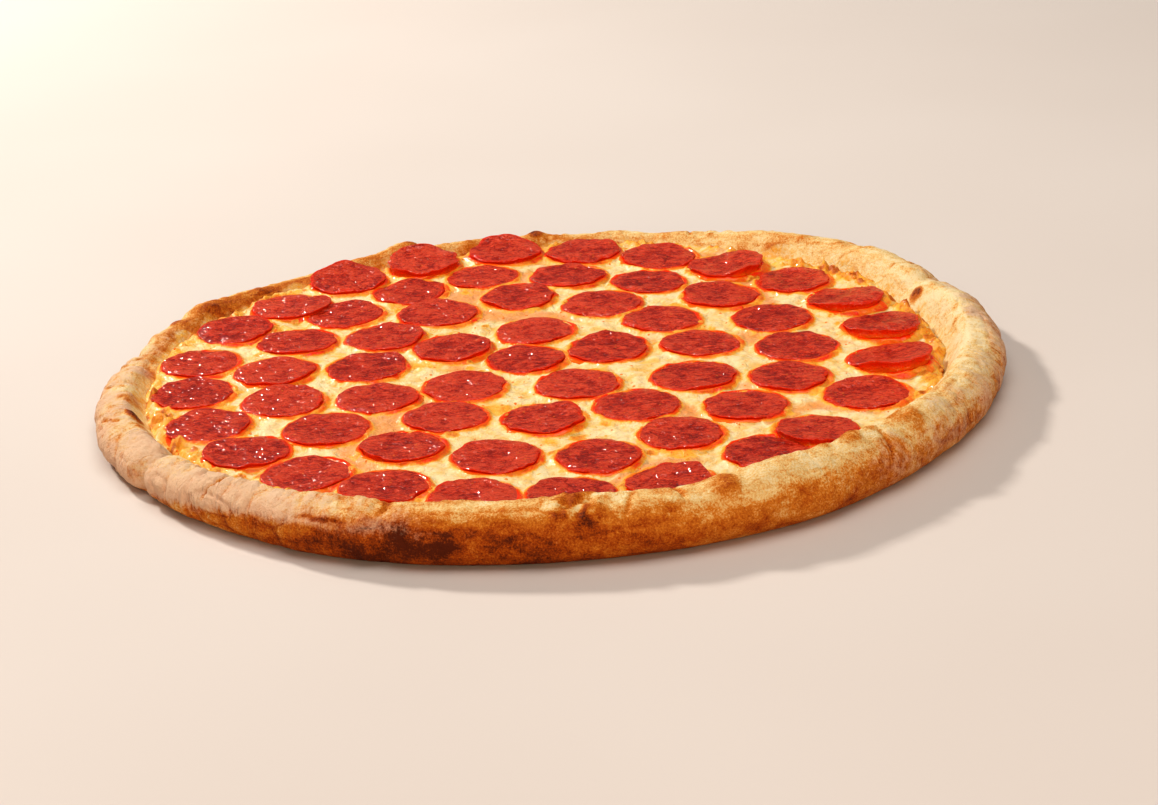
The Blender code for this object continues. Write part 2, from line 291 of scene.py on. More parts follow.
def support_height(x, y):
    """The smooth height that the slices lie on: level cheese, which climbs the rim's inner slope."""
    x, y = np.atleast_1d(x), np.atleast_1d(y)
    turn, reach = turn_and_reach(x, y)
    level = CHEESE_TOP + SWELL_HEIGHT * noise_at(on_plane(x, y), SWELL_SIZE)
    slope = crust_height(turn, reach) + CHEESE_OVER_SLOPE
    return 0.5 * (level + slope + np.sqrt((level - slope) ** 2 + SUPPORT_BLEND**2))


def least_apart(one, other):
    """How far apart two slices' middles stay: a pair that lies one on the other is nearer."""
    if (one["key"], other["key"]) in PAIRS or (other["key"], one["key"]) in PAIRS:
        return one["radius"] + other["radius"] - PAIR_OVERLAP
    return one["radius"] + other["radius"] + SLICE_CLEARANCE


def settle(places):
    """Pushes slices apart in the plane until none touches its neighbour, and holds each pair together."""
    for _ in range(SETTLE_ROUNDS):
        for i, one in enumerate(places):
            for other in places[i + 1 :]:
                apart = one["centre"] - other["centre"]
                least = least_apart(one, other)
                paired = least < one["radius"] + other["radius"]
                if apart.length < least or paired:
                    push = apart.normalized() * (least - apart.length) / 2
                    one["centre"] += push
                    other["centre"] -= push


def lay_flat(place):
    """Finds the level and tilt of the plane that a slice would lie in if it didn't bend."""
    angles = [2 * math.pi * i / SAMPLES_ROUND_SLICE for i in range(SAMPLES_ROUND_SLICE)]
    outs = [Vector((math.cos(angle), math.sin(angle))) for angle in angles]
    spots = [place["centre"] + out * place["radius"] for out in [*outs, Vector((0, 0))]]
    *heights, middle = support_height(*np.array([list(spot) for spot in spots]).T).tolist()
    pulls = [out * height for out, height in zip(outs, heights)]
    place["tilt"] = sum(pulls, Vector((0, 0))) * 2 / SAMPLES_ROUND_SLICE
    level = (sum(heights) / SAMPLES_ROUND_SLICE + middle) / 2
    short = max(height - level - place["tilt"].dot(out) for out, height in zip(outs, heights))
    place["level"] = level + max(short, middle - level)


def slice_places():
    """Where each slice lies, how large it is and how it is curled, ring by ring from the far side."""
    rng = random.Random(LAYOUT_SEED)
    places = []
    for ring, (reach, count, first, in_and_out, along) in enumerate(RINGS):
        for number in range(count):
            even = math.radians(first - 360 * number / count)
            turn = even + waves(along, even) / reach
            centre = Vector(frame_point(turn, reach + waves(in_and_out, even), 0)[:2])
            centre += Vector((rng.uniform(-1, 1), rng.uniform(-1, 1))) * PLACE_SPREAD
            radius = SLICE_RADIUS + rng.uniform(-1, 1) * RADIUS_SPREAD
            places.append({"key": (ring, number), "centre": centre, "radius": radius, "lifts": []})
    settle(places)
    by_key = {place["key"]: place for place in places}
    for low_key, high_key in PAIRS:
        low, high = by_key[low_key], by_key[high_key]
        high["lifts"].append(((low["centre"] - high["centre"]).normalized(), PAIR_LIFT))
    for key, angle, lift in TILTED:
        direction = Vector((math.cos(math.radians(angle)), math.sin(math.radians(angle))))
        by_key[key]["lifts"].append((direction, lift))
    rng = random.Random(SHAPE_SEED)
    for place in places:
        lay_flat(place)
        place["curl"] = rng.uniform(*CURL)
        place["curl_turn"] = rng.uniform(0, 2 * math.pi)
        place["fold"] = rng.uniform(*FOLD)
        place["fold_turn"] = rng.uniform(0, math.pi)
        place["wobble"] = rng.uniform(*WOBBLE)
        place["wobble_turn"] = rng.uniform(0, 2 * math.pi)
    return places


def slice_edge(place, angle):
    """A slice's radius at an angle: a circle that cooking has pulled a little out of round."""
    turn = place["wobble_turn"]
    wobble = np.cos(2 * (angle - turn)) + 0.5 * np.cos(3 * angle + turn) - 1
    return place["radius"] + 0.5 * place["wobble"] * wobble


def slice_underside(place, angle, share):
    """Points of a slice's lower face at a share of its radius."""
    reach = slice_edge(place, angle) * share
    x = place["centre"].x + reach * np.cos(angle)
    y = place["centre"].y + reach * np.sin(angle)
    curl = place["curl"] * share**3 * (0.5 + 0.5 * np.cos(angle - place["curl_turn"]))
    fold = place["fold"] * share**2 * (0.5 + 0.5 * np.cos(2 * (angle - place["fold_turn"])))
    off_x, off_y = reach * np.cos(angle) / place["radius"], reach * np.sin(angle) / place["radius"]
    plane = place["level"] + place["tilt"].x * off_x + place["tilt"].y * off_y
    shape = np.broadcast(x, y).shape
    support = support_height(np.ravel(x), np.ravel(y)).reshape(shape)
    height = mix((support, plane), SLICE_STIFFNESS) + SLICE_GAP + curl + fold
    for direction, lift in place["lifts"]:
        height = height + lift * smooth(0.5 + LIFT_STEEPNESS * (direction.x * off_x + direction.y * off_y))
    return np.stack((x, y, height), axis=-1)


def bridge(low, high):
    """Triangles between two rings of vertices that start at the same angle and may differ in number."""
    faces = []
    i = j = 0
    while i < len(low) or j < len(high):
        if (i + 1) * len(high) <= (j + 1) * len(low):
            faces.append((low[i], low[(i + 1) % len(low)], high[j % len(high)]))
            i += 1
        else:
            faces.append((low[i % len(low)], high[(j + 1) % len(high)], high[j]))
            j += 1
    return faces


def ring_body(rings, low_pole=None, high_pole=None):
    """Points and triangles of a body from rings of points: each end is closed on a point, or it is a tube ring."""
    points, rows, faces = [], [], []
    count = 0
    for ring in rings:
        points.append(ring)
        rows.append(list(range(count, count + len(ring))))
        count += len(ring)
    for low, high in zip(rows, rows[1:]):
        faces += bridge(low, high)
    if low_pole is None:
        faces += bridge(rows[-1], rows[0])
    else:
        points.append(np.array([low_pole, high_pole]))
        first, last = rows[0], rows[-1]
        faces += [(first[(i + 1) % len(first)], first[i], count) for i in range(len(first))]
        faces += [(last[i], last[(i + 1) % len(last)], count + 1) for i in range(len(last))]
    return np.concatenate(points), np.array(faces)


def add_object(name, data):
    """Puts a mesh, light or camera into the scene."""
    obj = bpy.data.objects.new(name, data)
    bpy.context.scene.collection.objects.link(obj)
    return obj


def add_piece(name, points, faces, material, attributes):
    """Makes a smooth-shaded mesh object whose faces point out, with named values on its vertices."""
    corners = points[faces]
    volume = np.einsum("ij,ij->i", corners[:, 0], np.cross(corners[:, 1], corners[:, 2])).sum()
    if volume < 0:
        faces = faces[:, ::-1]
    data = bpy.data.meshes.new(name)
    data.from_pydata(points.tolist(), [], faces.tolist())
    for label, values in attributes.items():
        kind, key = ("FLOAT", "value") if np.ndim(values) == 1 else ("FLOAT_VECTOR", "vector")
        data.attributes.new(label, kind, "POINT").data.foreach_set(key, np.ravel(values).astype(np.float32))
    data.shade_smooth()
    data.materials.append(material)
    return add_object(name, data)


# Nodes

def set_inputs(tree, node, inputs):
    """Gives a node's inputs a value or a link."""
    for key, value in inputs.items():
        if isinstance(value, bpy.types.NodeSocket):
            tree.links.new(value, node.inputs[key])
        else:
            node.inputs[key].default_value = value


def add_node(tree, kind, inputs=None, **settings):
    """Adds a node with its settings and its inputs."""
    node = tree.nodes.new(kind)
    for label, value in settings.items():
        setattr(node, label, value)
    set_inputs(tree, node, inputs or {})
    return node


def calculate(tree, operation, first, second=0.0):
    return add_node(tree, "ShaderNodeMath", {0: first, 1: second}, operation=operation).outputs[0]


def add_up(tree, base, *terms, clamp=False):
    """A base plus each value times its factor, held between 0 and 1 if it is clamped."""
    for value, factor in terms:
        base = add_node(tree, "ShaderNodeMath", {0: value, 1: factor, 2: base}, operation="MULTIPLY_ADD").outputs[0]
    base.node.use_clamp = clamp
    return base


def blend_colour(tree, share, first, second):
    """The colour between two, by a share."""
    first, second = (end if isinstance(end, bpy.types.NodeSocket) else (*end, 1) for end in (first, second))
    return add_node(tree, "ShaderNodeMix", {0: share, 6: first, 7: second}, data_type="RGBA").outputs[2]


def value_of(tree, label):
    """A named value that is kept on the vertices."""
    return add_node(tree, "ShaderNodeAttribute", attribute_name=label).outputs["Fac"]


def stretch(tree, place, scale):
    """A place stretched along its axes, for a pattern that follows it."""
    return add_node(tree, "ShaderNodeMapping", {"Vector": place, "Scale": scale}).outputs[0]


def place_of(tree, scale=(1, 1, 1)):
    """Object coordinates, stretched."""
    return stretch(tree, add_node(tree, "ShaderNodeTexCoord").outputs["Object"], scale)


def grain(tree, place, size, detail=3.0, rough=0.55, warp=0.0):
    """Noise whose features are about as large as the given size, from 0 to 1."""
    inputs = {"Vector": place, "Scale": 1 / size, "Detail": detail, "Roughness": rough, "Distortion": warp}
    return add_node(tree, "ShaderNodeTexNoise", inputs).outputs[0]


def ridges(tree, place, size, detail, sharp):
    """Thin lines from 0 to 1 that wander over a surface."""
    off = calculate(tree, "ABSOLUTE", calculate(tree, "SUBTRACT", grain(tree, place, size, detail, 0.5), 0.5))
    return add_up(tree, 1.0, (off, -2 * sharp), clamp=True)


def reshape(tree, value, low, high, out_low=0.0, out_high=1.0):
    """Maps a value from one range to another, smoothly, and holds it there."""
    inputs = {0: value, 1: low, 2: high, 3: out_low, 4: out_high}
    return add_node(tree, "ShaderNodeMapRange", inputs, interpolation_type="SMOOTHSTEP").outputs[0]


def ramp(tree, value, colours, stops):
    """A colour from a row of stops, each a position and the name of a colour."""
    node = add_node(tree, "ShaderNodeValToRGB", {0: value})
    elements = node.color_ramp.elements
    while len(elements) < len(stops):
        elements.new(1.0)
    for element, (position, label) in zip(elements, stops):
        element.position = position
        element.color = (*getattr(colours, label), 1)
    return node.outputs[0]


def bump(tree, height, distance, strength=1.0):
    inputs = {"Height": height, "Distance": distance, "Strength": strength}
    return add_node(tree, "ShaderNodeBump", inputs).outputs[0]


def new_finish(name):
    """An empty material with its tree and its Principled shader."""
    material = bpy.data.materials.new(name)
    material.use_nodes = True
    return material, material.node_tree, material.node_tree.nodes["Principled BSDF"]


# Finishes

# Grains: size, detail, roughness, warp
DOUGH_BROAD = (11 * MM, 4.0, 0.6, 0.3)
DOUGH_STREAKS = (3.5 * MM, 4.0, 0.6, 0.4)
DOUGH_FINE = (2.6 * MM, 5.0, 0.65)
DOUGH_SPECKS = (0.8 * MM, 3.0, 0.75)
CHEESE_BROAD = (13 * MM, 3.0, 0.55, 0.5)
CHEESE_CURDS = (5.5 * MM, 4.0, 0.58, 1.2)
CHEESE_FINE = (1.3 * MM, 4.0, 0.6)
CHEESE_WET = (3.2 * MM, 1.0, 0.4)
SAUSAGE_MOTTLE = (3.6 * MM, 6.0, 0.75, 2.6)
SAUSAGE_FIBRE = (1.3 * MM, 4.0, 0.7, 1.6)
SAUSAGE_WET = (2.1 * MM, 1.0, 0.4)
# How each pattern is stretched along its axes: a low number makes it long
SAUSAGE_STRETCH = (0.55, 1, 1)
STREAK_STRETCH = (0.3, 0.3, 1)
LINE_STRETCH = (1, 1, 0.3)
# Thin lines: size, detail, sharpness
DOUGH_LINES = (6 * MM, 2.0, 9.0)
SAUSAGE_GROOVES = (3.4 * MM, 3.0, 7.0)
# How deep each finish's grain is
DOUGH_BUMP = 1.5 * MM
CHEESE_BUMP = 1.9 * MM
CHEESE_WET_BUMP = 1.6 * MM
SAUSAGE_BUMP = 1.7 * MM
SAUSAGE_WET_BUMP = 1.4 * MM
FAT_SPACING = 3 * MM
# Colours along each ramp: position, name of the colour
BAKED_STOPS = (
    (0.0, "dough_pale"), (0.2, "dough_cream"), (0.45, "dough_gold"), (0.74, "dough_brown"), (1.0, "dough_dark"),
)
SOAKED_STOPS = (
    (0.48, "cheese_pale"), (0.64, "cheese_gold"), (0.76, "oil_thin"), (0.88, "cheese_toasted"), (1.0, "cheese_brown"),
)
# Oil stain on the cheese; its top end is the painted red shadow beside each slice
OIL_AND_RED_SHADOW_STOPS = ((0.12, "cheese_gold"), (0.38, "oil_thin"), (0.70, "oil"), (1.0, "sausage_edge_and_glow"))
TOASTED_STOPS = ((0.0, "cheese_gold"), (0.32, "oil_thin"), (0.64, "cheese_toasted"), (1.0, "cheese_brown"))
SAUSAGE_STOPS = ((0.0, "sausage_light"), (0.5, "sausage_red"), (1.0, "sausage_dark"))
# Wall under a tilted slice: partly melted oil, partly a painted glow of light through the slice
MELTED_AND_GLOW_STOPS = ((0.0, "sausage_edge_and_glow"), (0.35, "sausage_edge_and_glow"), (0.9, "oil"))
CRUMB_STOPS = ((0.0, "cheese_gold"), (0.4, "oil_thin"), (0.75, "cheese_toasted"), (1.0, "cheese_brown"))


def dough_finish(colours):
    """Baked dough: cream where it is pale, gold to red-brown where it is baked, with dry flour on it."""
    material, tree, shader = new_finish("baked_dough_finish")
    place = place_of(tree)
    strip = add_node(tree, "ShaderNodeAttribute", attribute_name="strip").outputs["Vector"]
    broad, fine, speck = (grain(tree, place, *sizes) for sizes in (DOUGH_BROAD, DOUGH_FINE, DOUGH_SPECKS))
    streak = grain(tree, stretch(tree, strip, STREAK_STRETCH), *DOUGH_STREAKS)
    bake, flour = value_of(tree, "bake"), value_of(tree, "flour")
    lines = ridges(tree, stretch(tree, strip, LINE_STRETCH), *DOUGH_LINES)
    lines = calculate(tree, "MULTIPLY", lines, reshape(tree, broad, 0.42, 0.6))
    lines = calculate(tree, "MULTIPLY", lines, reshape(tree, flour, 0.15, 0.6, 0.25, 1.0))
    uneven = add_up(tree, -1.09, (broad, 0.2), (fine, 0.28), (speck, 1.0), (streak, 0.7))
    baked = add_up(tree, uneven, (bake, 1.0), (lines, 0.12), clamp=True)
    colour = ramp(tree, baked, colours, BAKED_STOPS)
    soak = add_up(tree, -0.5, (value_of(tree, "soak"), 1.0), (broad, 1.0))
    stain = add_up(tree, -0.25, (fine, 1.0), (speck, 0.5), (bake, 0.25))
    stained = ramp(tree, stain, colours, SOAKED_STOPS)
    colour = blend_colour(tree, reshape(tree, soak, 0.3, 1.0, 0.0, 0.85), colour, stained)
    cover = add_up(tree, 0.8, (flour, 1.0), (fine, -1.0), (speck, -0.6), (lines, -0.3))
    dusted = reshape(tree, cover, 0.12, 0.85, 0.0, 0.86)
    height = add_up(tree, 0.0, (fine, 0.9), (speck, 0.45), (streak, 0.4), (lines, -0.35))
    set_inputs(tree, shader, {
        "Base Color": blend_colour(tree, dusted, colour, colours.flour),
        "Roughness": add_up(tree, 0.7, (value_of(tree, "shine"), -0.4), (dusted, 0.25), clamp=True),
        "Normal": bump(tree, height, DOUGH_BUMP),
        "Metallic": 0.0, "Specular IOR Level": 0.15,
    })
    return material


def cheese_finish(colours):
    """Melted cheese: cream to yellow, soaked with orange oil near the slices, with toasted flecks and a painted red
    shadow to one side of each slice.
    """
    material, tree, shader = new_finish("melted_cheese_finish")
    place = place_of(tree)
    broad, curds, fine = (grain(tree, place, *sizes) for sizes in (CHEESE_BROAD, CHEESE_CURDS, CHEESE_FINE))
    # Painted light and shade: raised lumps are paler and low parts more golden, following the cheese's relief
    tone = add_up(tree, 0.0, (broad, 0.5), (curds, 0.5), (value_of(tree, "raised"), -0.12))
    colour = blend_colour(tree, reshape(tree, tone, 0.38, 0.7), colours.cheese_pale, colours.cheese_gold)
    sauce = add_up(tree, value_of(tree, "sauce"), (curds, 0.6))
    colour = blend_colour(tree, reshape(tree, sauce, 0.6, 1.2, 0.0, 0.7), colour, colours.sauce)
    oil = calculate(tree, "MULTIPLY", value_of(tree, "oil"), 0.72)
    # The painted red shadow beside each slice joins the oil stain here
    oil = calculate(tree, "MAXIMUM", oil, value_of(tree, "red"))
    soaked = add_up(tree, -0.525, (oil, 1.0), (curds, 0.7), (fine, 0.35))
    stained = ramp(tree, soaked, colours, OIL_AND_RED_SHADOW_STOPS)
    colour = blend_colour(tree, reshape(tree, soaked, 0.1, 0.42), colour, stained)
    toasted = reshape(tree, add_up(tree, value_of(tree, "toast"), (fine, 0.55)), 0.42, 1.3)
    browned = ramp(tree, toasted, colours, TOASTED_STOPS)
    height = add_up(tree, 0.0, (curds, 0.8), (fine, 0.25))
    set_inputs(tree, shader, {
        "Base Color": blend_colour(tree, reshape(tree, toasted, 0.03, 0.35), colour, browned),
        "Roughness": reshape(tree, curds, 0.3, 0.7, 0.3, 0.5),
        "Normal": bump(tree, height, CHEESE_BUMP),
        "Metallic": 0.0, "Specular IOR Level": 0.15,
        "Subsurface Weight": 0.15, "Subsurface Radius": (1.0, 0.55, 0.2), "Subsurface Scale": 1.6 * MM,
        "Coat Weight": 0.35, "Coat Roughness": 0.07,
        "Coat Normal": bump(tree, grain(tree, place, *CHEESE_WET), CHEESE_WET_BUMP),
    })
    return material


def sausage_finish(colours):
    """Cured sausage: mottled brick red, darker in its folds and lighter on its raised parts as painted shade and
    light, with a bright thin edge that is partly a painted glow of light through it, flecks of fat, and a painted red
    glow on the wall under a tilted slice.
    """
    material, tree, shader = new_finish("cured_sausage_finish")
    place, stretched = place_of(tree), place_of(tree, SAUSAGE_STRETCH)
    mottle, fibre = grain(tree, stretched, *SAUSAGE_MOTTLE), grain(tree, stretched, *SAUSAGE_FIBRE)
    grooves = ridges(tree, stretched, *SAUSAGE_GROOVES)
    low, rim = value_of(tree, "low"), value_of(tree, "rim")
    # Painted shade and light: the face is darker in its hollows and lighter on its raised parts, by the depth of its
    # relief
    dark = add_up(tree, -0.88, (mottle, 1.5), (fibre, 1.4), (grooves, 0.2), (value_of(tree, "middle"), 0.08),
                  (value_of(tree, "hollow"), 0.2), (value_of(tree, "tone"), 0.16))
    colour = ramp(tree, reshape(tree, dark, 0.46, 1.2), colours, SAUSAGE_STOPS)
    fat = add_node(tree, "ShaderNodeTexVoronoi", {"Vector": place, "Scale": 1 / FAT_SPACING, "Randomness": 1.0})
    fleck = reshape(tree, add_up(tree, fat.outputs["Distance"], (fibre, 0.2)), 0.30, 0.16, 0.0, 0.8)
    chance = add_node(tree, "ShaderNodeSeparateColor", {0: fat.outputs["Color"]}).outputs[0]
    fleck = calculate(tree, "MULTIPLY", fleck, reshape(tree, chance, 0.70, 0.76))
    colour = blend_colour(tree, fleck, colour, colours.fat)
    # The thin edge's bright orange-red: partly its own colour, partly a painted glow of light through the thin edge
    edge = reshape(tree, add_up(tree, rim, (mottle, 0.4)), 0.52, 1.0)
    colour = blend_colour(tree, edge, colour, colours.sausage_edge_and_glow)
    # The lower wall of a tilted slice runs from the edge colour to oil: partly melted oil, partly a painted glow of
    # light through the slice
    melted = ramp(tree, low, colours, MELTED_AND_GLOW_STOPS)
    glow = calculate(tree, "MAXIMUM", calculate(tree, "MULTIPLY", low, 0.85), calculate(tree, "MULTIPLY", rim, 0.25))
    height = add_up(tree, 0.0, (mottle, 0.9), (fibre, 0.45), (grooves, -0.3))
    set_inputs(tree, shader, {
        "Base Color": blend_colour(tree, reshape(tree, low, 0.02, 0.15), colour, melted),
        "Roughness": reshape(tree, fibre, 0.3, 0.7, 0.36, 0.5),
        "Normal": bump(tree, height, SAUSAGE_BUMP),
        "Metallic": 0.0, "Specular IOR Level": 0.05,
        "Subsurface Weight": glow, "Subsurface Radius": (1.0, 0.12, 0.03), "Subsurface Scale": 2.4 * MM,
        "Coat Weight": 0.55, "Coat Roughness": 0.09, "Coat IOR": 1.7,
        "Coat Normal": bump(tree, grain(tree, place, *SAUSAGE_WET), SAUSAGE_WET_BUMP),
        # Painted glow: the lower wall of a tilted slice gives out red light, standing in for light through the slice
        "Emission Color": (1.0, 0.1, 0.004, 1), "Emission Strength": calculate(tree, "MULTIPLY", low, 0.18),
    })
    return material


def oil_finish(colours):
    """Clear orange oil that has run out of the slices."""
    material, tree, shader = new_finish("orange_oil_finish")
    spread = reshape(tree, value_of(tree, "spread"), 0.15, 0.95)
    set_inputs(tree, shader, {
        # Next to the slice the oil takes the edge colour, partly a painted glow of light through the slice
        "Base Color": blend_colour(tree, spread, colours.sausage_edge_and_glow, colours.oil),
        "Normal": bump(tree, grain(tree, place_of(tree), 2.5 * MM), 0.3 * MM, 0.5),
        "Metallic": 0.0, "Roughness": 0.06, "Specular IOR Level": 0.35,
        "Subsurface Weight": 0.3, "Subsurface Radius": (1.0, 0.3, 0.08), "Subsurface Scale": 1.5 * MM,
    })
    return material


def bead_finish(colours):
    """Small beads of clear orange fat."""
    material, tree, shader = new_finish("fat_bead_finish")
    shade = reshape(tree, grain(tree, place_of(tree), 30 * MM), 0.35, 0.65)
    set_inputs(tree, shader, {
        "Base Color": blend_colour(tree, shade, colours.oil, colours.fat),
        "Normal": bump(tree, grain(tree, place_of(tree), 1.2 * MM), 0.1 * MM, 0.5),
        "Metallic": 0.0, "Roughness": 0.05, "Specular IOR Level": 0.6,
        "Subsurface Weight": 0.3, "Subsurface Radius": (1.0, 0.4, 0.1), "Subsurface Scale": 1 * MM,
    })
    return material


def crumb_finish(colours):
    """Crisp crumbs of browned cheese."""
    material, tree, shader = new_finish("crisp_crumb_finish")
    shade = reshape(tree, grain(tree, place_of(tree), 5 * MM), 0.3, 0.7)
    set_inputs(tree, shader, {
        "Base Color": ramp(tree, shade, colours, CRUMB_STOPS),
        "Normal": bump(tree, grain(tree, place_of(tree), 0.7 * MM), 0.2 * MM),
        "Metallic": 0.0, "Roughness": 0.38, "Coat Weight": 0.3, "Coat Roughness": 0.15,
    })
    return material


def flour_finish(colours):
    """Grains of flour and coarse meal."""
    material, tree, shader = new_finish("flour_grain_finish")
    shade = grain(tree, place_of(tree), 9 * MM)
    set_inputs(tree, shader, {
        "Base Color": blend_colour(tree, shade, colours.flour, colours.dough_pale),
        "Normal": bump(tree, grain(tree, place_of(tree), 0.3 * MM), 0.08 * MM),
        "Metallic": 0.0, "Roughness": 0.92,
    })
    return material


# Dough

# Dark blisters: angle in degrees, place across the section, radius, rise, how dark
BLISTERS = (
    (157, 0.50, 5.5 * MM, 1.2 * MM, 0.75),
    (150, 0.72, 5.0 * MM, 1.2 * MM, 0.85),
    (139, 0.62, 5.0 * MM, 0.9 * MM, 0.7),
    (-163, 0.73, 6.5 * MM, 1.8 * MM, 1.0),
    (-170, 0.70, 8.0 * MM, 0.8 * MM, 0.42),
    (-156, 0.72, 9.0 * MM, 0.8 * MM, 0.40),
    (15, 0.76, 5.5 * MM, 1.3 * MM, 0.9),
    (110, 0.58, 5.0 * MM, 1.0 * MM, 0.75),
    (89, 0.58, 6.0 * MM, 1.2 * MM, 0.85),
    (-108, 0.58, 4.0 * MM, 0.7 * MM, 0.7),
    (-69, 0.50, 9.0 * MM, 2.0 * MM, 0.56),
    (-54, 0.64, 5.5 * MM, 1.1 * MM, 0.48),
    (-50, 0.61, 8.0 * MM, 2.0 * MM, 0.52),
    (-46, 0.63, 5.0 * MM, 1.0 * MM, 0.46),
    (-40, 0.54, 11.0 * MM, 2.6 * MM, 0.42),
    (44, 0.66, 4.0 * MM, 0.7 * MM, 0.45),
    (60, 0.62, 3.5 * MM, 0.6 * MM, 0.4),
)
# Cracks in the skin: angle, place across the section, direction in degrees (0 is round the rim), half length, depth
CRACKS = (
    (-132, 0.50, 82, 11 * MM, 1.3 * MM),
    (-115, 0.36, 4, 14 * MM, 0.5 * MM),
    (-108, 0.52, 75, 6 * MM, 0.8 * MM),
    (-80, 0.50, 60, 9 * MM, 1.0 * MM),
    (-74, 0.56, 100, 7 * MM, 0.9 * MM),
    (-46, 0.42, 70, 9 * MM, 1.1 * MM),
    (-162, 0.45, 20, 9 * MM, 0.9 * MM),
    (-176, 0.52, 60, 8 * MM, 0.9 * MM),
    (172, 0.45, 110, 8 * MM, 1.0 * MM),
    (24, 0.55, 80, 10 * MM, 1.0 * MM),
    (64, 0.45, 95, 9 * MM, 0.9 * MM),
)
CRACK_WIDTH = 1.5 * MM
# How a crack wanders: the size of its bends, how far they go off, and a shift of the noise
CRACK_BENDS = ((4.5 * MM, 1.3 * MM, 13.7), (11 * MM, 1.5 * MM, 14.9))
CRACK_LIP = 0.4 * MM
CRACK_DEEPER = 1.4
# Burst blister: angle, place, radius of the crater, depth
CRATER = (-86, 0.53, 13 * MM, 2.4 * MM)
TORN_HEIGHT = 2.3 * MM
# Small blisters: how many, their radius and their rise
SMALL_BLISTERS = 130
SMALL_BLISTER_RADIUS = (1.6 * MM, 4.6 * MM)
SMALL_BLISTER_RISE = (0.25 * MM, 0.8 * MM)
BLISTER_SEED = 23
# Folds of the skin that run across the rim, and hair cracks: size round the rim and across it, shift of the noise
FOLDS = (7.5 * MM, 26 * MM, 0.0)
SMALL_FOLDS = (3.6 * MM, 13 * MM, 5.3)
HAIR_CRACKS = (19 * MM, 9 * MM, 7.3)
FOLD_SHARPNESS = 2.6
FOLD_LEAN = 0.05
SMALL_FOLD_SHARE = 0.55
HAIR_CRACK_SHARPNESS = 7
HAIR_CRACK_DEPTH = 0.55 * MM
# Depth of the wrinkles in mm: everywhere, and how much more where flour lies
WRINKLE_DEPTH = (0.22, 0.5)
DENT_HEIGHT = 0.6 * MM
PORE_HEIGHT = 0.25 * MM
SWELL_RISE = 0.9 * MM
# Noise in the skin: size, and a shift that makes each its own
DOUGH_NOISE = {
    "dents": (13 * MM, 3.1),
    "pores": (3.4 * MM, 1.7),
    "swells": (25 * MM, 6.2),
    "crack_gaps": (24 * MM, 3.9),
    "torn_edge": (5 * MM, 2.2),
    "torn_skin": (4.4 * MM, 5.1),
    "torn_pale": (5 * MM, 15.3),
    "uneven_bake": (30 * MM, 9.1),
    "inner_patches": (11 * MM, 4.4),
    "soak_edge": (9 * MM, 8.2),
}
# The line in the bottom of a crease, as a share of the crease's depth and width, and how it wanders
CREASE_LINE = (0.35, 0.28)
CREASE_BENDS = (16 * MM, 3 * MM)
# Where the inner slope starts, as a place across the section, and over how much of it
INNER_SLOPE = (0.62, 0.2)
# Where flour lies thick and where the oven has browned the side: angle, half width in degrees, strength
FLOURED = ((-162, 56, 1.0), (-122, 28, 0.7), (-36, 28, 0.45), (2, 36, 0.8))
CREST_BAKED = ((112, 50, 0.26), (55, 30, 0.1), (150, 36, 0.34), (-98, 26, 0.14), (-66, 20, 0.12), (2, 34, -0.14))
BROWNED = ((-96, 28, 0.34), (-62, 36, 0.08), (-114, 18, 0.1), (0, 34, 0.04), (100, 60, 0.16))
# Least baking, what the outer wall and the base add, where the baked wall ends and over how much of the section
BAKE_LEAST = 0.12
BAKE_WALL = 0.33
BAKE_BASE = 0.12
BAKED_WALL = (0.52, 0.36)
# How much more each mark is baked; a blister's share is for each mm of its height
BAKED_BY = {"blister": 0.1, "crack": 0.16, "dents": 0.1, "pores": 0.08, "split": 0.26, "wrinkle": 0.1, "inner": 0.26}
# Where the oil soaks the foot of the slope, as a place across the section, and over how much of it
SOAKED_FOOT = (0.68, 0.16)
# Lower and upper edge of the flour across the section, and where they lie higher than elsewhere
FLOUR_EDGES = (0.03, 0.64)
LOW_EDGE_RAISED = ((-116, 34, 0.2),)
HIGH_EDGE_RAISED = ((-168, 80, 0.2),)
# Share of the reach and number of points of each ring of the underside and of the floor under the cheese
FLOOR_RINGS = ((0.97, 480), (0.9, 240), (0.7, 120), (0.45, 60), (0.2, 24))
HIDDEN_DOUGH = {"bake": 0.62, "flour": 0.25, "shine": 0.0, "soak": 0.0}


def round_the_rim(table, turn):
    """The sum of a table's smooth humps round the rim."""
    total = np.zeros(np.shape(turn))
    for angle, half_width, strength in table:
        off = np.abs(turn_between(turn, math.radians(angle)))
        total += strength * smooth(1.25 * (1 - off / math.radians(half_width)))
    return total


def dough_blisters(turn, place):
    """Height and darkness of the blisters."""
    rng = random.Random(BLISTER_SEED)
    spots = list(BLISTERS)
    for _ in range(SMALL_BLISTERS):
        size = rng.uniform(0.2, 1) ** 2
        spots.append((rng.uniform(-180, 180), rng.uniform(0.32, 0.82), mix(SMALL_BLISTER_RADIUS, size),
                      mix(SMALL_BLISTER_RISE, size), rng.uniform(0, 0.45) ** 1.5))
    rise = np.zeros(turn.shape)
    dark = np.zeros(turn.shape)
    for angle, across, radius, height, darkness in spots:
        near = np.abs(turn_between(turn[:, 0], math.radians(angle))) < 2.2 * radius / WIDTH * 2
        if not near.any():
            continue
        along, side = along_and_across(turn[near], place[near], angle, across)
        far = np.hypot(along, side) / radius
        rise[near] += height * smooth(1.15 - far)
        dark[near] = np.maximum(dark[near], darkness * smooth(1.25 - far))
    return rise, dark


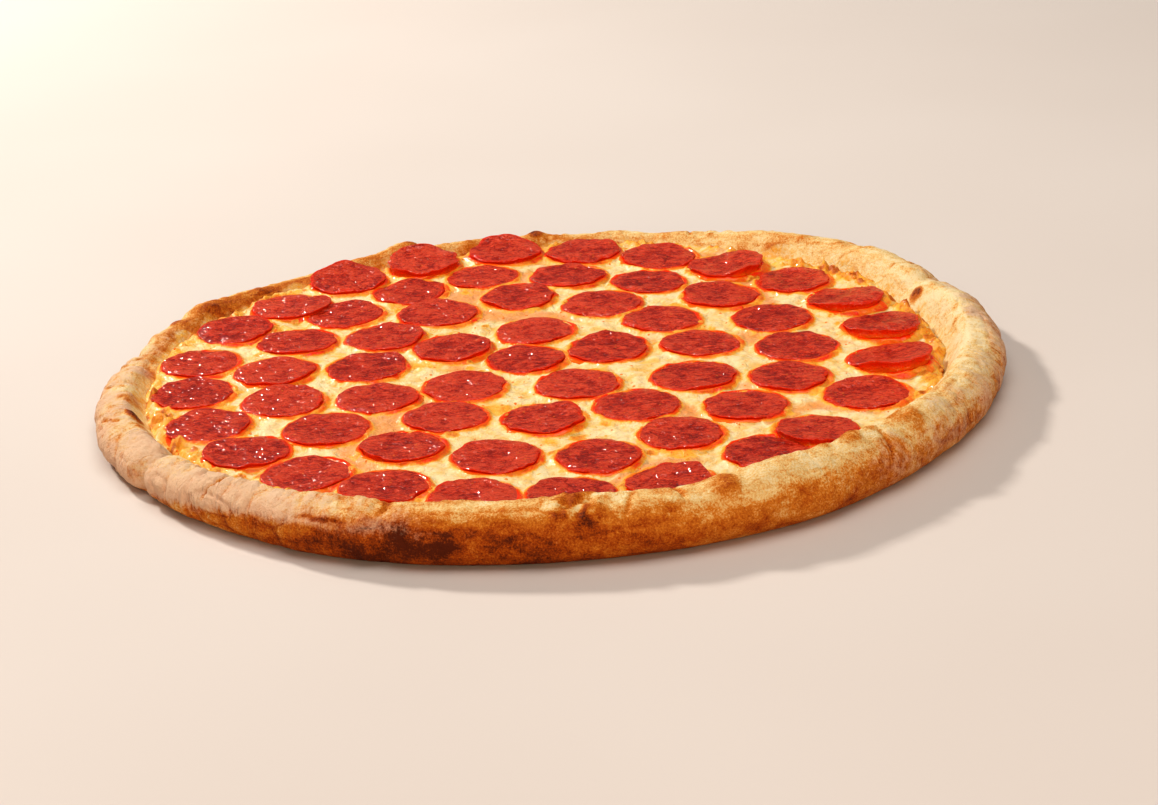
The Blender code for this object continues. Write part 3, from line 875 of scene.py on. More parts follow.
def dough_cracks(turn, place, spot):
    """How deep each point lies in one of the cracks, from 0 to 1, and the depth there."""
    total = np.zeros(turn.shape)
    depths = np.zeros(turn.shape)
    jagged = sum(amount * noise_at(spot, size, shift) for size, amount, shift in CRACK_BENDS)
    for angle, across, direction, half_length, depth in CRACKS:
        along, side = along_and_across(turn, place, angle, across)
        away = np.abs(turn_between(turn, math.radians(angle))) < math.pi / 2
        lean = math.radians(direction)
        off = np.abs(side * math.cos(lean) - along * math.sin(lean) + jagged)
        far = np.abs(along * math.cos(lean) + side * math.sin(lean)) / half_length
        line = away * smooth(1.2 - off / CRACK_WIDTH) * smooth(2.5 * (1 - far))
        total = np.maximum(total, line)
        depths = np.maximum(depths, line * depth)
    return total, depths


def skin_folds(turn, place):
    """How strongly the skin is folded across the rim."""
    lean = turn + FOLD_LEAN * place
    folds = 1 - np.abs(strip_noise(lean, place, *FOLDS)) * FOLD_SHARPNESS
    small_folds = 1 - np.abs(strip_noise(lean, place, *SMALL_FOLDS)) * FOLD_SHARPNESS
    return np.clip(folds, 0, 1) ** 2 + SMALL_FOLD_SHARE * np.clip(small_folds, 0, 1) ** 2


def dough_creases(turn, reach, spot):
    """Depth of the line that runs along the bottom of each crease."""
    depth_share, width_share = CREASE_LINE
    size, amount = CREASE_BENDS
    total = np.zeros(turn.shape)
    for angle, half_width, depth in CREASES:
        off = turn_between(turn, math.radians(angle)) * reach + amount * noise_at(spot, size, angle)
        total += depth_share * depth * smooth(1 - np.abs(off) / (width_share * half_width))
    return total


def skin_marks(turn, place, spot):
    """What marks the skin at each point: its noise, and how strongly each kind of mark shows."""
    marks = {label: noise_at(spot, size, shift) for label, (size, shift) in DOUGH_NOISE.items()}
    marks["floured"] = round_the_rim(FLOURED, turn)
    marks["inner"] = smooth((place - INNER_SLOPE[0]) / INNER_SLOPE[1])
    marks["wrinkle"] = skin_folds(turn, place)
    hair = 1 - np.abs(strip_noise(turn, place, *HAIR_CRACKS)) * HAIR_CRACK_SHARPNESS
    marks["crack"] = np.clip(hair, 0, 1) * smooth(0.5 + 2.2 * marks["crack_gaps"])
    marks["split"], marks["split_depth"] = dough_cracks(turn, place, spot)
    marks["blister"], marks["dark"] = dough_blisters(turn, place)
    angle, across, radius, _ = CRATER
    along, side = along_and_across(turn, place, angle, across)
    marks["off_crater"] = np.hypot(along, side) / radius + 0.3 * marks["torn_edge"]
    marks["torn"] = smooth(1.3 - marks["off_crater"])
    return marks


def skin_rise(marks):
    """How far the skin's own relief stands out: dents, pores, wrinkles, cracks, torn skin and blisters."""
    wrinkle_depth = (WRINKLE_DEPTH[0] + WRINKLE_DEPTH[1] * marks["floured"]) * (1 - 0.6 * marks["inner"]) * MM
    rise = DENT_HEIGHT * marks["dents"] + PORE_HEIGHT * marks["pores"] - wrinkle_depth * marks["wrinkle"]
    rise += SWELL_RISE * marks["swells"]
    rise -= HAIR_CRACK_DEPTH * marks["crack"] * (0.35 + marks["floured"])
    rise += CRACK_LIP * smooth(2 * marks["split_depth"] / MM) - CRACK_DEEPER * marks["split_depth"]
    rise += marks["torn"] * (TORN_HEIGHT * marks["torn_skin"] - CRATER[-1] * smooth(1 - marks["off_crater"]))
    return rise + marks["blister"]


def skin_bake(turn, place, marks):
    """How far the skin is baked: 0 is pale, 1 is scorched."""
    browned = round_the_rim(BROWNED, turn)
    wall = smooth((BAKED_WALL[0] + 0.2 * browned - place) / BAKED_WALL[1])
    bake = BAKE_LEAST + wall * (BAKE_WALL + browned) + BAKE_BASE * smooth((0.14 - place) / 0.14)
    bake += (0.06 + 0.1 * wall) * marks["uneven_bake"] + BAKED_BY["blister"] * marks["blister"] / MM
    bake += BAKED_BY["crack"] * marks["crack"] + BAKED_BY["dents"] * marks["dents"] * (1 - marks["inner"])
    bake += BAKED_BY["pores"] * marks["pores"] + BAKED_BY["split"] * marks["split"]
    bake += BAKED_BY["wrinkle"] * marks["wrinkle"] * (0.3 + marks["floured"])
    bake += round_the_rim(CREST_BAKED, turn) * smooth((place - 0.42) / 0.2)
    bake += BAKED_BY["inner"] * marks["inner"] * smooth(marks["inner_patches"] * 2.6 - 0.3)
    bake += marks["torn"] * (0.4 + 0.6 * marks["torn_skin"])
    bake -= 0.7 * marks["torn"] * smooth(3 * marks["torn_pale"] - 0.6)
    return np.maximum(bake, marks["dark"] + 0.16 * marks["pores"])


def skin_flour(turn, place, marks):
    """How thick the flour lies: blisters, cracks and torn skin have shed it."""
    dents = marks["dents"]
    low_edge = FLOUR_EDGES[0] + round_the_rim(LOW_EDGE_RAISED, turn)
    high_edge = FLOUR_EDGES[1] + round_the_rim(HIGH_EDGE_RAISED, turn) + 0.12 * dents
    cover = marks["floured"] * smooth((place - low_edge - 0.06 * dents) / 0.12) * smooth((high_edge - place) / 0.2)
    cover *= (1 - smooth(marks["dark"] * 1.6)) * (1 - 0.7 * marks["torn"]) * (0.85 + 0.45 * dents)
    return cover * ((1 - 0.8 * marks["split"]) * (1 - 0.25 * marks["wrinkle"]))


def skin_soak(place, marks):
    """How far oil and colour from the toppings have soaked the foot of the inner slope."""
    soak = smooth((place - SOAKED_FOOT[0] - 0.14 * marks["soak_edge"]) / SOAKED_FOOT[1])
    return soak * (1 - 0.95 * smooth(1.6 * marks["dark"]))


def dough_surface():
    """Points of the rim, ring by ring from the base to the inner foot, with the values that its finish reads."""
    turns = even_turns(DOUGH_TURNS)
    turn, place = np.meshgrid(turns, np.linspace(0, 1, DOUGH_STEPS), indexing="ij")
    reach, height = plain_section(turn, place)
    spot = frame_point(turn, reach, height)
    marks = skin_marks(turn, place, spot)
    skin = skin_rise(marks) - dough_creases(turn, reach, spot)
    rise = rim_relief(turn, place) + skin * relief_fade(place)
    out, up = relief_direction(place)
    points = frame_point(turn, reach + out * rise, height + up * rise)
    return points, {
        "bake": skin_bake(turn, place, marks),
        "flour": skin_flour(turn, place, marks),
        "shine": np.clip(marks["inner"] * 0.9 + 0.5 * marks["dark"], 0, 1),
        "soak": skin_soak(place, marks),
        "strip": np.stack((RIM_RADIUS * np.cos(turn), RIM_RADIUS * np.sin(turn), RIM_SECTION * place), axis=-1),
    }


def make_dough(material):
    """The dough: its puffed rim, its thin floor under the cheese and its flat underside, as one piece."""
    points, values = dough_surface()
    kept = {label: [value[:, step] for step in range(DOUGH_STEPS)] for label, value in values.items()}
    under, over = [], []
    for share, count in FLOOR_RINGS:
        turns = even_turns(count)
        base, foot = (plain_section(turns, np.full(count, place))[0] for place in (0.0, 1.0))
        under.append(frame_point(turns, base * share, 0))
        over.append(frame_point(turns, foot * share, FLOOR))
    rows = [points[:, step] for step in range(DOUGH_STEPS)]
    ends = np.array([frame_point(0, 0, 0), frame_point(0, 0, FLOOR)])
    points, faces = ring_body([*reversed(under), *rows, *over], *ends)
    attributes = {"strip": np.concatenate([*reversed(under), *kept.pop("strip"), *over, ends])}
    for label, steps in kept.items():
        flat = [np.full(len(ring), HIDDEN_DOUGH[label]) for ring in under]
        attributes[label] = np.concatenate([*reversed(flat), *steps, *flat, np.full(2, HIDDEN_DOUGH[label])])
    return add_piece("dough", points, faces, material, attributes)


# Cheese

# Lumps: size, height, shift of the noise
CHEESE_LUMPS = ((9 * MM, 0.8 * MM, 0.0), (4.4 * MM, 0.55 * MM, 4.0), (2.3 * MM, 0.22 * MM, 8.0))
LUMPS_START = (-1.5 * MM, 3 * MM)
# How high the cheese stands against a slice, and where that starts and ends, outwards from the slice's edge
CHEESE_HUG = 1.7 * MM
HUG_STARTS = (-2.2 * MM, 1.6 * MM)
HUG_ENDS = 3.5 * MM
# Painted red shadow to one side of each slice, as if lit through the slice: direction in degrees in which it falls
# and how far it shows
RED_SHADOW_TURN = -42
RED_SHADOW_REACH = 1.6 * MM
RED_SHADOW_EDGE = 0.6 * MM
FILL_SHARE = 0.75
EDGE_RAGS = ((23, 0.012, 20), (37, 0.009, 70), (61, 0.006, 10))
EDGE_MELT = 4 * MM
EDGE_TUCK = 0.5 * MM
# Browned flecks: how many, how far out they reach, their radius and rise, and how far under a slice they may lie
TOAST_SPOTS = 200
TOAST_REACH = 172 * MM
TOAST_RADIUS = (1.2 * MM, 4.6 * MM)
TOAST_RISE = 0.25 * MM
TOAST_UNDER = -2 * MM
TOAST_SEED = 77
# Crisp browned stretches of the cheese's border: angle, half width in degrees, strength
CRISPED = ((12, 34, 1.0), (45, 26, 0.95), (78, 26, 0.8), (110, 28, 0.75), (150, 28, 0.8), (-162, 26, 1.0),
           (-125, 24, 0.9), (-98, 18, 0.5), (-50, 16, 1.0), (-22, 20, 0.8))
CRISP_WIDTH = 13 * MM
CRISP_HEIGHT = 3.2 * MM
CRISP_STARTS = 1.5 * MM
OIL_FADE = 1.7 * MM
OILY_BORDER = 12 * MM
# Noise in the cheese: size, and a shift that makes each its own
CHEESE_NOISE = {
    "ragged": (3.5 * MM, 2.5),
    "crisp": (7 * MM, 6.6),
    "crumbly": (3.6 * MM, 9.9),
    "crumbly_fine": (1.8 * MM, 4.9),
    "scorched": (4.5 * MM, 11.9),
    "oil": (13 * MM, 1.1),
    "oil_patches": (20 * MM, 12.0),
    "oily_border": (9 * MM, 2.7),
    "sauce": (26 * MM, 5.5),
    "red": (8 * MM, 3.3),
}
# Share of the reach and number of points of each ring of the cheese's underside
UNDERSIDE_RINGS = ((0.3, 90), (0.7, 240), (0.93, 480), (0.985, 720))
UNDERSIDE_GAP = 0.15 * MM


def cheese_edge_reach(turn):
    """How far the cheese reaches up the rim's slope."""
    outer, inset, _, slope = rim_sizes(turn)
    place = CHEESE_EDGE + waves(CHEESE_EDGE_WAVES, turn) + waves(EDGE_RAGS, turn)
    return outer - inset - slope * (place - UPPER_PART) / (1 - UPPER_PART)


def outside_slice(x, y, place, shift=(0.0, 0.0)):
    """How far points lie outside a slice's edge, or outside the edge shifted sideways."""
    off_x = x - place["centre"].x - shift[0]
    off_y = y - place["centre"].y - shift[1]
    return np.hypot(off_x, off_y) - slice_edge(place, np.arctan2(off_y, off_x))


def clear_of_slices(x, y, places):
    """How far each point lies outside the nearest slice's edge; it is negative under a slice."""
    clear = np.full(np.shape(x), 1.0)
    for place in places:
        clear = np.minimum(clear, outside_slice(x, y, place))
    return clear


def raised_fill(x, y, places):
    """Cheese that has stuck to the raised side of a tilted slice and stands up under it."""
    total = np.zeros(np.shape(x))
    for place in places:
        off_x, off_y = (x - place["centre"].x) / place["radius"], (y - place["centre"].y) / place["radius"]
        near = smooth(2.6 * (1.12 - np.hypot(off_x, off_y)))
        for direction, lift in place["lifts"]:
            total += FILL_SHARE * lift * near * smooth(LIFT_STEEPNESS * (direction.x * off_x + direction.y * off_y))
    return total


def painted_red_shadow(x, y, places):
    """How much painted red shadow lies at each point: it falls to one side of each slice, further where it is tilted
    up.
    """
    run = math.radians(RED_SHADOW_TURN)
    total = np.zeros(np.shape(x))
    for place in places:
        reach = RED_SHADOW_REACH + 0.5 * place["curl"] + 0.55 * sum(lift for _, lift in place["lifts"])
        far = outside_slice(x, y, place, (reach * math.cos(run), reach * math.sin(run)))
        total = np.maximum(total, smooth(0.9 - far / (RED_SHADOW_EDGE + 0.5 * reach)))
    return 0.82 * total


def cheese_surface(x, y, places):
    """The cheese's height at points of the plane, and how far they lie from the nearest slice and from the border."""
    turn, reach = turn_and_reach(x, y)
    clear = clear_of_slices(x, y, places)
    inside = cheese_edge_reach(turn) - reach
    height = support_height(x, y) + np.minimum(np.maximum(clear * BULGE_SLOPE, 0), BULGE_HEIGHT)
    height += raised_fill(x, y, places)
    height += CHEESE_HUG * smooth((clear - HUG_STARTS[0]) / HUG_STARTS[1]) * smooth(1.1 - clear / HUG_ENDS)
    flat = on_plane(x, y)
    open_share = smooth((clear - LUMPS_START[0]) / LUMPS_START[1])
    for size, amount, shift in CHEESE_LUMPS:
        height += open_share * amount * noise_at(flat, size, shift)
    melt = smooth(inside / EDGE_MELT)
    height = (crust_height(turn, reach) - EDGE_TUCK) * (1 - melt) + height * melt
    return height, clear, inside


def toast_spots(places):
    """Places where the cheese has browned, off the slices: x, y, radius, strength."""
    rng = random.Random(TOAST_SEED)
    spots = []
    while len(spots) < TOAST_SPOTS:
        turn = rng.uniform(-math.pi, math.pi)
        reach = TOAST_REACH * math.sqrt(rng.uniform(0, 1))
        x, y = frame_point(turn, reach, 0)[:2]
        if clear_of_slices(np.array([x]), np.array([y]), places)[0] > TOAST_UNDER:
            size = rng.uniform(0, 1) ** 2
            spots.append((x, y, mix(TOAST_RADIUS, size), rng.uniform(0.25, 0.8)))
    return spots


def cheese_marks(flat, clear, inside, places):
    """How high the browned parts of the cheese stand, and the values that its finish reads."""
    x, y = flat[:, 0], flat[:, 1]
    turn, _ = turn_and_reach(x, y)
    pattern = {label: noise_at(flat, size, shift) for label, (size, shift) in CHEESE_NOISE.items()}
    toast = np.zeros(len(x))
    for spot_x, spot_y, radius, strength in toast_spots(places):
        far = np.hypot(x - spot_x, y - spot_y) / radius + 0.5 * pattern["ragged"]
        toast = np.maximum(toast, strength * smooth(1.3 - far))
    crisp = round_the_rim(CRISPED, turn) * smooth(1.25 - inside / CRISP_WIDTH)
    crisp *= np.clip(0.7 + 1.3 * pattern["crisp"], 0, 1.2)
    lumpy = CRISP_HEIGHT * crisp * (0.5 + pattern["crumbly"] + 0.5 * pattern["crumbly_fine"])
    rise = TOAST_RISE * toast + lumpy * smooth(inside / CRISP_STARTS)
    scorched = 0.55 * smooth(2.6 * pattern["scorched"] - 0.2)
    toast = np.maximum(toast, np.minimum(0.8 * crisp, 0.6) + 0.9 * scorched * crisp)
    oil = np.exp(-np.maximum(clear, 0) / OIL_FADE) * (0.9 + 0.6 * pattern["oil"])
    oil = np.maximum(oil, 0.6 * smooth(pattern["oil_patches"] * 2.2 - 0.3))
    oil = np.maximum(oil, (0.45 + 0.4 * pattern["oily_border"]) * smooth(1.3 - inside / OILY_BORDER))
    sauce = smooth(pattern["sauce"] * 2.4 - 0.35)
    # Painted red shadow to one side of each slice
    red = painted_red_shadow(x, y, places) * np.clip(0.9 + 0.6 * pattern["red"], 0, 1.2)
    # The lumps' height, for the painted light on raised lumps and shade in low parts
    broad, small = (noise_at(flat, size, shift) for size, _, shift in CHEESE_LUMPS[:2])
    raised = np.clip(small + broad, -1, 1)
    return rise, {"toast": toast, "oil": oil, "sauce": sauce, "red": red, "raised": raised, "clear": clear / MM}


def make_cheese(places, material):
    """The melted cheese: a disc that climbs the rim's slope and ends in a ragged melted border."""
    rings = []
    for number in range(CHEESE_RINGS, 0, -1):
        turns = even_turns(6 * number)
        rings.append(frame_point(turns, cheese_edge_reach(turns) * number / CHEESE_RINGS, 0))
    flat = np.concatenate([*rings, frame_point(0, 0, 0)[None]])
    height, clear, inside = cheese_surface(flat[:, 0], flat[:, 1], places)
    rise, marks = cheese_marks(flat, clear, inside, places)
    flat[:, 2] = height + rise
    sizes = np.cumsum([len(ring) for ring in rings])
    tops = np.split(flat[:-1], sizes[:-1])
    under = []
    for share, count in UNDERSIDE_RINGS:
        turns = even_turns(count)
        reach = cheese_edge_reach(turns) * share
        under.append(frame_point(turns, reach, crust_height(turns, reach) + UNDERSIDE_GAP))
    points, faces = ring_body([*under, *tops], frame_point(0, 0, FLOOR + UNDERSIDE_GAP), flat[-1])
    below = np.zeros(sum(len(ring) for ring in under))
    attributes = {
        label: np.concatenate([below, values[:-1], [0.0], values[-1:]]) for label, values in marks.items()
    }
    return add_piece("melted_cheese", points, faces, material, attributes)


# Sausage slices

# Levels of a slice's upper face and lip: share of the radius, height as a share of the thickness
SLICE_SECTION = (
    (0.992, 0.62), (1.0, 0.78), (0.995, 0.92), (0.975, 1.0), (0.95, 1.0), (0.92, 1.0), (0.88, 1.0), (0.84, 1.0),
    (0.80, 1.0), (0.75, 1.0), (0.70, 1.0), (0.65, 1.0), (0.60, 1.0), (0.55, 1.0), (0.50, 1.0), (0.45, 1.0),
    (0.40, 1.0), (0.35, 1.0), (0.30, 1.0), (0.25, 1.0), (0.20, 1.0), (0.15, 1.0), (0.10, 1.0), (0.05, 1.0),
)
# Levels of its wall, from under the cheese up to the lip: share of the way down, how far it is tucked in
SLICE_WALL = ((1.0, 1.0), (0.7, 0.95), (0.4, 0.85), (0.12, 0.6))
# Least tuck, and how much more a tall wall gets, past the height that counts as tall
WALL_TUCK = (0.35 * MM, 0.2)
TALL_WALL = 1.2 * MM
# Height over which a tall wall takes its melted colour and its painted glow
MELTED_AND_GLOW_WALL = 1.5 * MM
# How deep the wall's foot goes into the cheese, and how far inside the lip that is measured
FOOT_DEPTH = 0.35 * MM
FOOT_INSET = MM
LEAST_WALL = 0.05 * MM
EDGE_DROOP = 0.4 * MM
UPPER_FACE_DROP = 0.25 * MM
SLICE_RELIEF = ((9 * MM, 0.5 * MM), (4.4 * MM, 0.45 * MM), (2.4 * MM, 0.26 * MM))
# Depth of relief at which a hollow's painted shade is full
HOLLOW_SHADE_DEPTH = 0.4 * MM
EDGE_RUFFLE = 2.6 * MM
RUFFLE_INSET = 0.3 * MM
RUFFLE_MOST = 0.25 * MM
EDGE_WAVE = 1.5 * MM
# Steps in the noise from one slice to the next, so that each has its own edge and its own face
EDGE_STEP = 3.7
FACE_STEP = 5 * MM


def slice_turns(number, shift=0.0):
    """Angles round a slice, and points of a circle that give each slice its own noise."""
    turns = even_turns(SLICE_TURNS)
    circle = np.stack((np.cos(turns), np.sin(turns), np.full(SLICE_TURNS, shift + EDGE_STEP * number)), axis=-1)
    return turns, circle


def slice_lip(place, number, share, level):
    """Points of a slice's upper face, as a ring at a share of its radius, and how deep each lies in a fold, for the
    painted shade of its hollows.
    """
    turns, circle = slice_turns(number)
    out = np.stack((np.cos(turns), np.sin(turns), np.zeros(SLICE_TURNS)), axis=-1)
    points = slice_underside(place, turns, share)
    ruffle = EDGE_RUFFLE * noise_at(circle, 0.55) + 0.35 * EDGE_RUFFLE * noise_at(circle, 0.22, 6.1) - RUFFLE_INSET
    ruffle = np.minimum(ruffle, RUFFLE_MOST)
    points += out * (ruffle * smooth((share - 0.6) / 0.4))[:, None]
    seat = points.copy()
    seat[:, 2] = FACE_STEP * number
    relief = sum(amount * noise_at(seat, size) for size, amount in SLICE_RELIEF)
    wave = EDGE_WAVE * (noise_at(circle, 0.7, 4.4) - 0.15) * share**3
    droop = EDGE_DROOP * smooth((share - 0.82) / 0.18)
    points[:, 2] += SLICE_THICKNESS * level + relief * mix((0.5, 1.0), smooth((1 - share) / 0.3)) + wave
    points[:, 2] -= droop + UPPER_FACE_DROP
    return points, np.clip(-relief / HOLLOW_SHADE_DEPTH, -1, 1)


def make_slice(name, place, number, places, material):
    """One slice: a thin disc with a rounded lip, curled and wrinkled, whose wall goes down into the cheese."""
    turns, circle = slice_turns(number)
    out = np.stack((np.cos(turns), np.sin(turns)), axis=-1)
    upper, hollow_shades = zip(*(slice_lip(place, number, share, level) for share, level in SLICE_SECTION))
    lip = upper[0]
    foot = lip[:, :2] - out * FOOT_INSET
    cheese = cheese_surface(foot[:, 0], foot[:, 1], places)[0]
    ground = np.minimum(cheese - FOOT_DEPTH, lip[:, 2] - LEAST_WALL)
    tall = np.maximum(lip[:, 2] - ground - TALL_WALL, 0)
    tucked = (WALL_TUCK[0] + WALL_TUCK[1] * tall) * (1 + 0.5 * noise_at(circle, 0.35, 2.9))
    walls = []
    for down, tuck in SLICE_WALL:
        spot = lip[:, :2] - out * (tucked * tuck)[:, None]
        walls.append(np.column_stack((spot, lip[:, 2] + (ground - lip[:, 2]) * down)))
    inner = slice_underside(place, turns, 0.5)
    inner[:, 2] = ground.mean()
    middle = slice_underside(place, np.zeros(1), 0.0)[0]
    low, high = (np.array([*middle[:2], level]) for level in (ground.mean(), upper[-1][:, 2].mean()))
    points, faces = ring_body([inner, *walls, *upper], low, high)

    # Values that the finish reads, in the order of the points: underside and wall, upper face, two poles
    hidden = (len(SLICE_WALL) + 1) * SLICE_TURNS
    # How strongly the bright edge colour shows: partly the edge's own colour, partly a painted glow of light through
    # it
    width = np.clip(0.55 + 0.9 * noise_at(circle, 0.8, 7.7), 0.2, 1)
    bright = [np.ones(SLICE_TURNS) if level < 1 else smooth((share - 0.80) / 0.16) * 0.8 * width
              for share, level in SLICE_SECTION]
    central = np.repeat([smooth(1.1 - share / 0.8) for share, _ in SLICE_SECTION], SLICE_TURNS)
    # How far down a tall wall each ring lies, for its melted colour and its painted glow
    melted = [down * smooth(tall / MELTED_AND_GLOW_WALL) for down, _ in SLICE_WALL]
    return add_piece(name, points, faces, material, {
        "hollow": np.concatenate([np.zeros(hidden), *hollow_shades, [0, 0]]),
        "middle": np.concatenate([np.zeros(hidden), central, [0, 1]]),
        "rim": np.concatenate([np.ones(hidden), *bright, [1, 0]]),
        "tone": np.full(len(points), random.Random(number).random()),
        "low": np.concatenate([np.ones(SLICE_TURNS), *melted, np.zeros(len(SLICE_SECTION) * SLICE_TURNS), [1, 0]]),
    })


# Oil

OIL_WIDTH = (0.7 * MM, 2.6 * MM)
OIL_RISE = (0.1 * MM, 1.1 * MM)
OIL_UNDER_LIP = 0.3 * MM
# Where a tilted slice's edge is too high for the oil: gap, and over how much more of it the oil sinks
OIL_LOST = (1.8 * MM, 1.2 * MM)
# The oil's section, outwards: distance in mm inside the lip or as a share of the width outside it, height, spread
OIL_SECTION = ((-1.4, 0.0, 0.0), (-0.5, 1.0, 0.0), (0.25, 0.62, 0.35), (0.6, 0.25, 0.7), (1.0, 0.0, 1.0))
OIL_SHIFT = 9.1
OIL_TUCK = 0.1 * MM
OIL_THICKNESS = 0.5 * MM


def make_oil(places, material):
    """The rim of oil that stands between each slice's edge and the cheese."""
    all_points, all_faces, spreads = [], [], []
    count = 0
    for number, place in enumerate(places):
        turns, circle = slice_turns(number, OIL_SHIFT)
        width = mix(OIL_WIDTH, smooth(0.5 + 0.9 * noise_at(circle, 0.55)))
        lip = slice_lip(place, number, *SLICE_SECTION[0])[0]
        out = np.stack((np.cos(turns), np.sin(turns)), axis=-1)
        loops = []
        for off, level, _ in OIL_SECTION:
            reach = np.where(off > 0, width * off, off * MM)
            spot = lip[:, :2] + out * reach[:, None]
            ground = cheese_surface(spot[:, 0], spot[:, 1], places)[0]
            gap = lip[:, 2] - ground
            rise = np.clip(gap - OIL_UNDER_LIP, *OIL_RISE) * mix((0.5, 1.0), width / OIL_WIDTH[1])
            rise *= 1 - 0.75 * smooth((gap - OIL_LOST[0]) / OIL_LOST[1])
            loops.append(np.column_stack((spot, ground + level * rise - (OIL_TUCK if level == 0 else 0))))
        under = loops[0].copy()
        under[:, 2] -= OIL_THICKNESS
        points, faces = ring_body([*loops, under])
        all_points.append(points)
        all_faces.append(faces + count)
        spreads.append(np.repeat([*(spread for _, _, spread in OIL_SECTION), 0.0], SLICE_TURNS))
        count += len(points)
    attributes = {"spread": np.concatenate(spreads)}
    return add_piece("oil_rims", np.concatenate(all_points), np.concatenate(all_faces), material, attributes)


# Scattered grains

GRAIN_INPUTS = {
    "Density": "Float", "Smallest": "Float", "Largest": "Float", "Flatness": "Float", "Roughness": "Float",
    "Seed": "Int", "Where": "String", "Least": "Float", "Most": "Float", "Fineness": "Int", "Material": "Material",
}
# Waves in each metre of the noise that roughens the grains
GRAIN_WAVES = 900.0


def grain_tree():
    """Geometry nodes that scatter small grains on a surface, more where a named value is high."""
    tree = bpy.data.node_groups.new("scatter_grains", "GeometryNodeTree")
    tree.interface.new_socket("Surface", in_out="INPUT", socket_type="NodeSocketGeometry")
    for label, kind in GRAIN_INPUTS.items():
        tree.interface.new_socket(label, in_out="INPUT", socket_type=f"NodeSocket{kind}")
    tree.interface.new_socket("Grains", in_out="OUTPUT", socket_type="NodeSocketGeometry")
    given = tree.nodes.new("NodeGroupInput").outputs
    value = add_node(tree, "GeometryNodeInputNamedAttribute", {"Name": given["Where"]}, data_type="FLOAT").outputs[0]
    share = add_node(tree, "ShaderNodeMapRange", {0: value, 1: given["Least"], 2: given["Most"], 3: 0.0, 4: 1.0})
    density = calculate(tree, "MULTIPLY", share.outputs[0], given["Density"])
    spots = add_node(tree, "GeometryNodeDistributePointsOnFaces", {
        "Mesh": given["Surface"], "Density": density, "Seed": given["Seed"]})
    ball = add_node(tree, "GeometryNodeMeshIcoSphere", {"Radius": 1.0, "Subdivisions": given["Fineness"]})
    size = add_node(tree, "FunctionNodeRandomValue", {
        2: given["Smallest"], 3: given["Largest"], "Seed": given["Seed"]}, data_type="FLOAT").outputs[1]
    flat = calculate(tree, "MULTIPLY", size, given["Flatness"])
    scale = add_node(tree, "ShaderNodeCombineXYZ", {0: size, 1: size, 2: flat}).outputs[0]
    placed = add_node(tree, "GeometryNodeInstanceOnPoints", {
        "Points": spots.outputs["Points"], "Instance": ball.outputs[0], "Rotation": spots.outputs["Rotation"],
        "Scale": scale})
    real = add_node(tree, "GeometryNodeRealizeInstances", {0: placed.outputs[0]})
    place = add_node(tree, "GeometryNodeInputPosition").outputs[0]
    rough = add_node(tree, "ShaderNodeTexNoise", {"Vector": place, "Scale": GRAIN_WAVES, "Detail": 1.0})
    centred = add_node(tree, "ShaderNodeVectorMath", {0: rough.outputs[1], 1: (0.5, 0.5, 0.5)}, operation="SUBTRACT")
    moved = add_node(tree, "ShaderNodeVectorMath", {0: centred.outputs[0], "Scale": given["Roughness"]},
                     operation="SCALE")
    shaped = add_node(tree, "GeometryNodeSetPosition", {0: real.outputs[0], "Offset": moved.outputs[0]})
    soft = add_node(tree, "GeometryNodeSetShadeSmooth", {0: shaped.outputs[0]})
    finished = add_node(tree, "GeometryNodeSetMaterial", {0: soft.outputs[0], "Material": given["Material"]})
    out = tree.nodes.new("NodeGroupOutput")
    tree.links.new(finished.outputs[0], out.inputs[0])
    return tree


def scatter(name, surface, tree, values):
    """Runs the grain tree on a copy of a surface and keeps the result as a plain mesh."""
    carrier = add_object(name, surface.data.copy())
    modifier = carrier.modifiers.new("scatter", "NODES")
    modifier.node_group = tree
    for item in tree.interface.items_tree:
        if item.in_out == "INPUT" and item.name in values:
            modifier[item.identifier] = values[item.name]
    depsgraph = bpy.context.evaluated_depsgraph_get()
    result = bpy.data.meshes.new_from_object(carrier.evaluated_get(depsgraph), depsgraph=depsgraph)
    carrier.modifiers.remove(modifier)
    if not result.polygons:
        raise RuntimeError(f"no grains were made for {name}")
    result.name = name
    carrier.data = result
    return carrier


# Each kind of grain: surface, slot, name in the settings, finish, smallest size as a share of the largest, then
# the tree's other inputs
GRAINS = {
    "flour_grains": ("dough", "crust", "flour", flour_finish, 0.4, {
        "Flatness": 0.7, "Roughness": 0.15 * MM, "Where": "flour", "Least": 0.3, "Most": 0.8, "Fineness": 1}),
    "fat_beads": ("melted_cheese", "cheese", "bead", bead_finish, 0.25, {
        "Flatness": 0.45, "Roughness": 0.0, "Where": "clear", "Least": 0.0, "Most": 3.0, "Fineness": 2}),
    "crisp_crumbs": ("melted_cheese", "cheese", "crumb", crumb_finish, 0.3, {
        "Flatness": 0.6, "Roughness": 0.7 * MM, "Where": "toast", "Least": 0.5, "Most": 1.1, "Fineness": 2}),
}


# Settings

def number_property(label, text, default, **more):
    return bpy.props.FloatProperty(name=label, description=text, default=default, **more)


def size_property(label, text, default, low=0.0, high=1.0):
    return number_property(label, text, default, min=low, max=high, subtype="DISTANCE", unit="LENGTH", precision=5)


def power_property(label, text, default):
    return number_property(label, text, default, min=0.0, subtype="POWER", unit="POWER")


def colour_property(label, text, default):
    return bpy.props.FloatVectorProperty(name=label, description=text, default=default, size=3, min=0.0, max=1.0,
                                         subtype="COLOR")


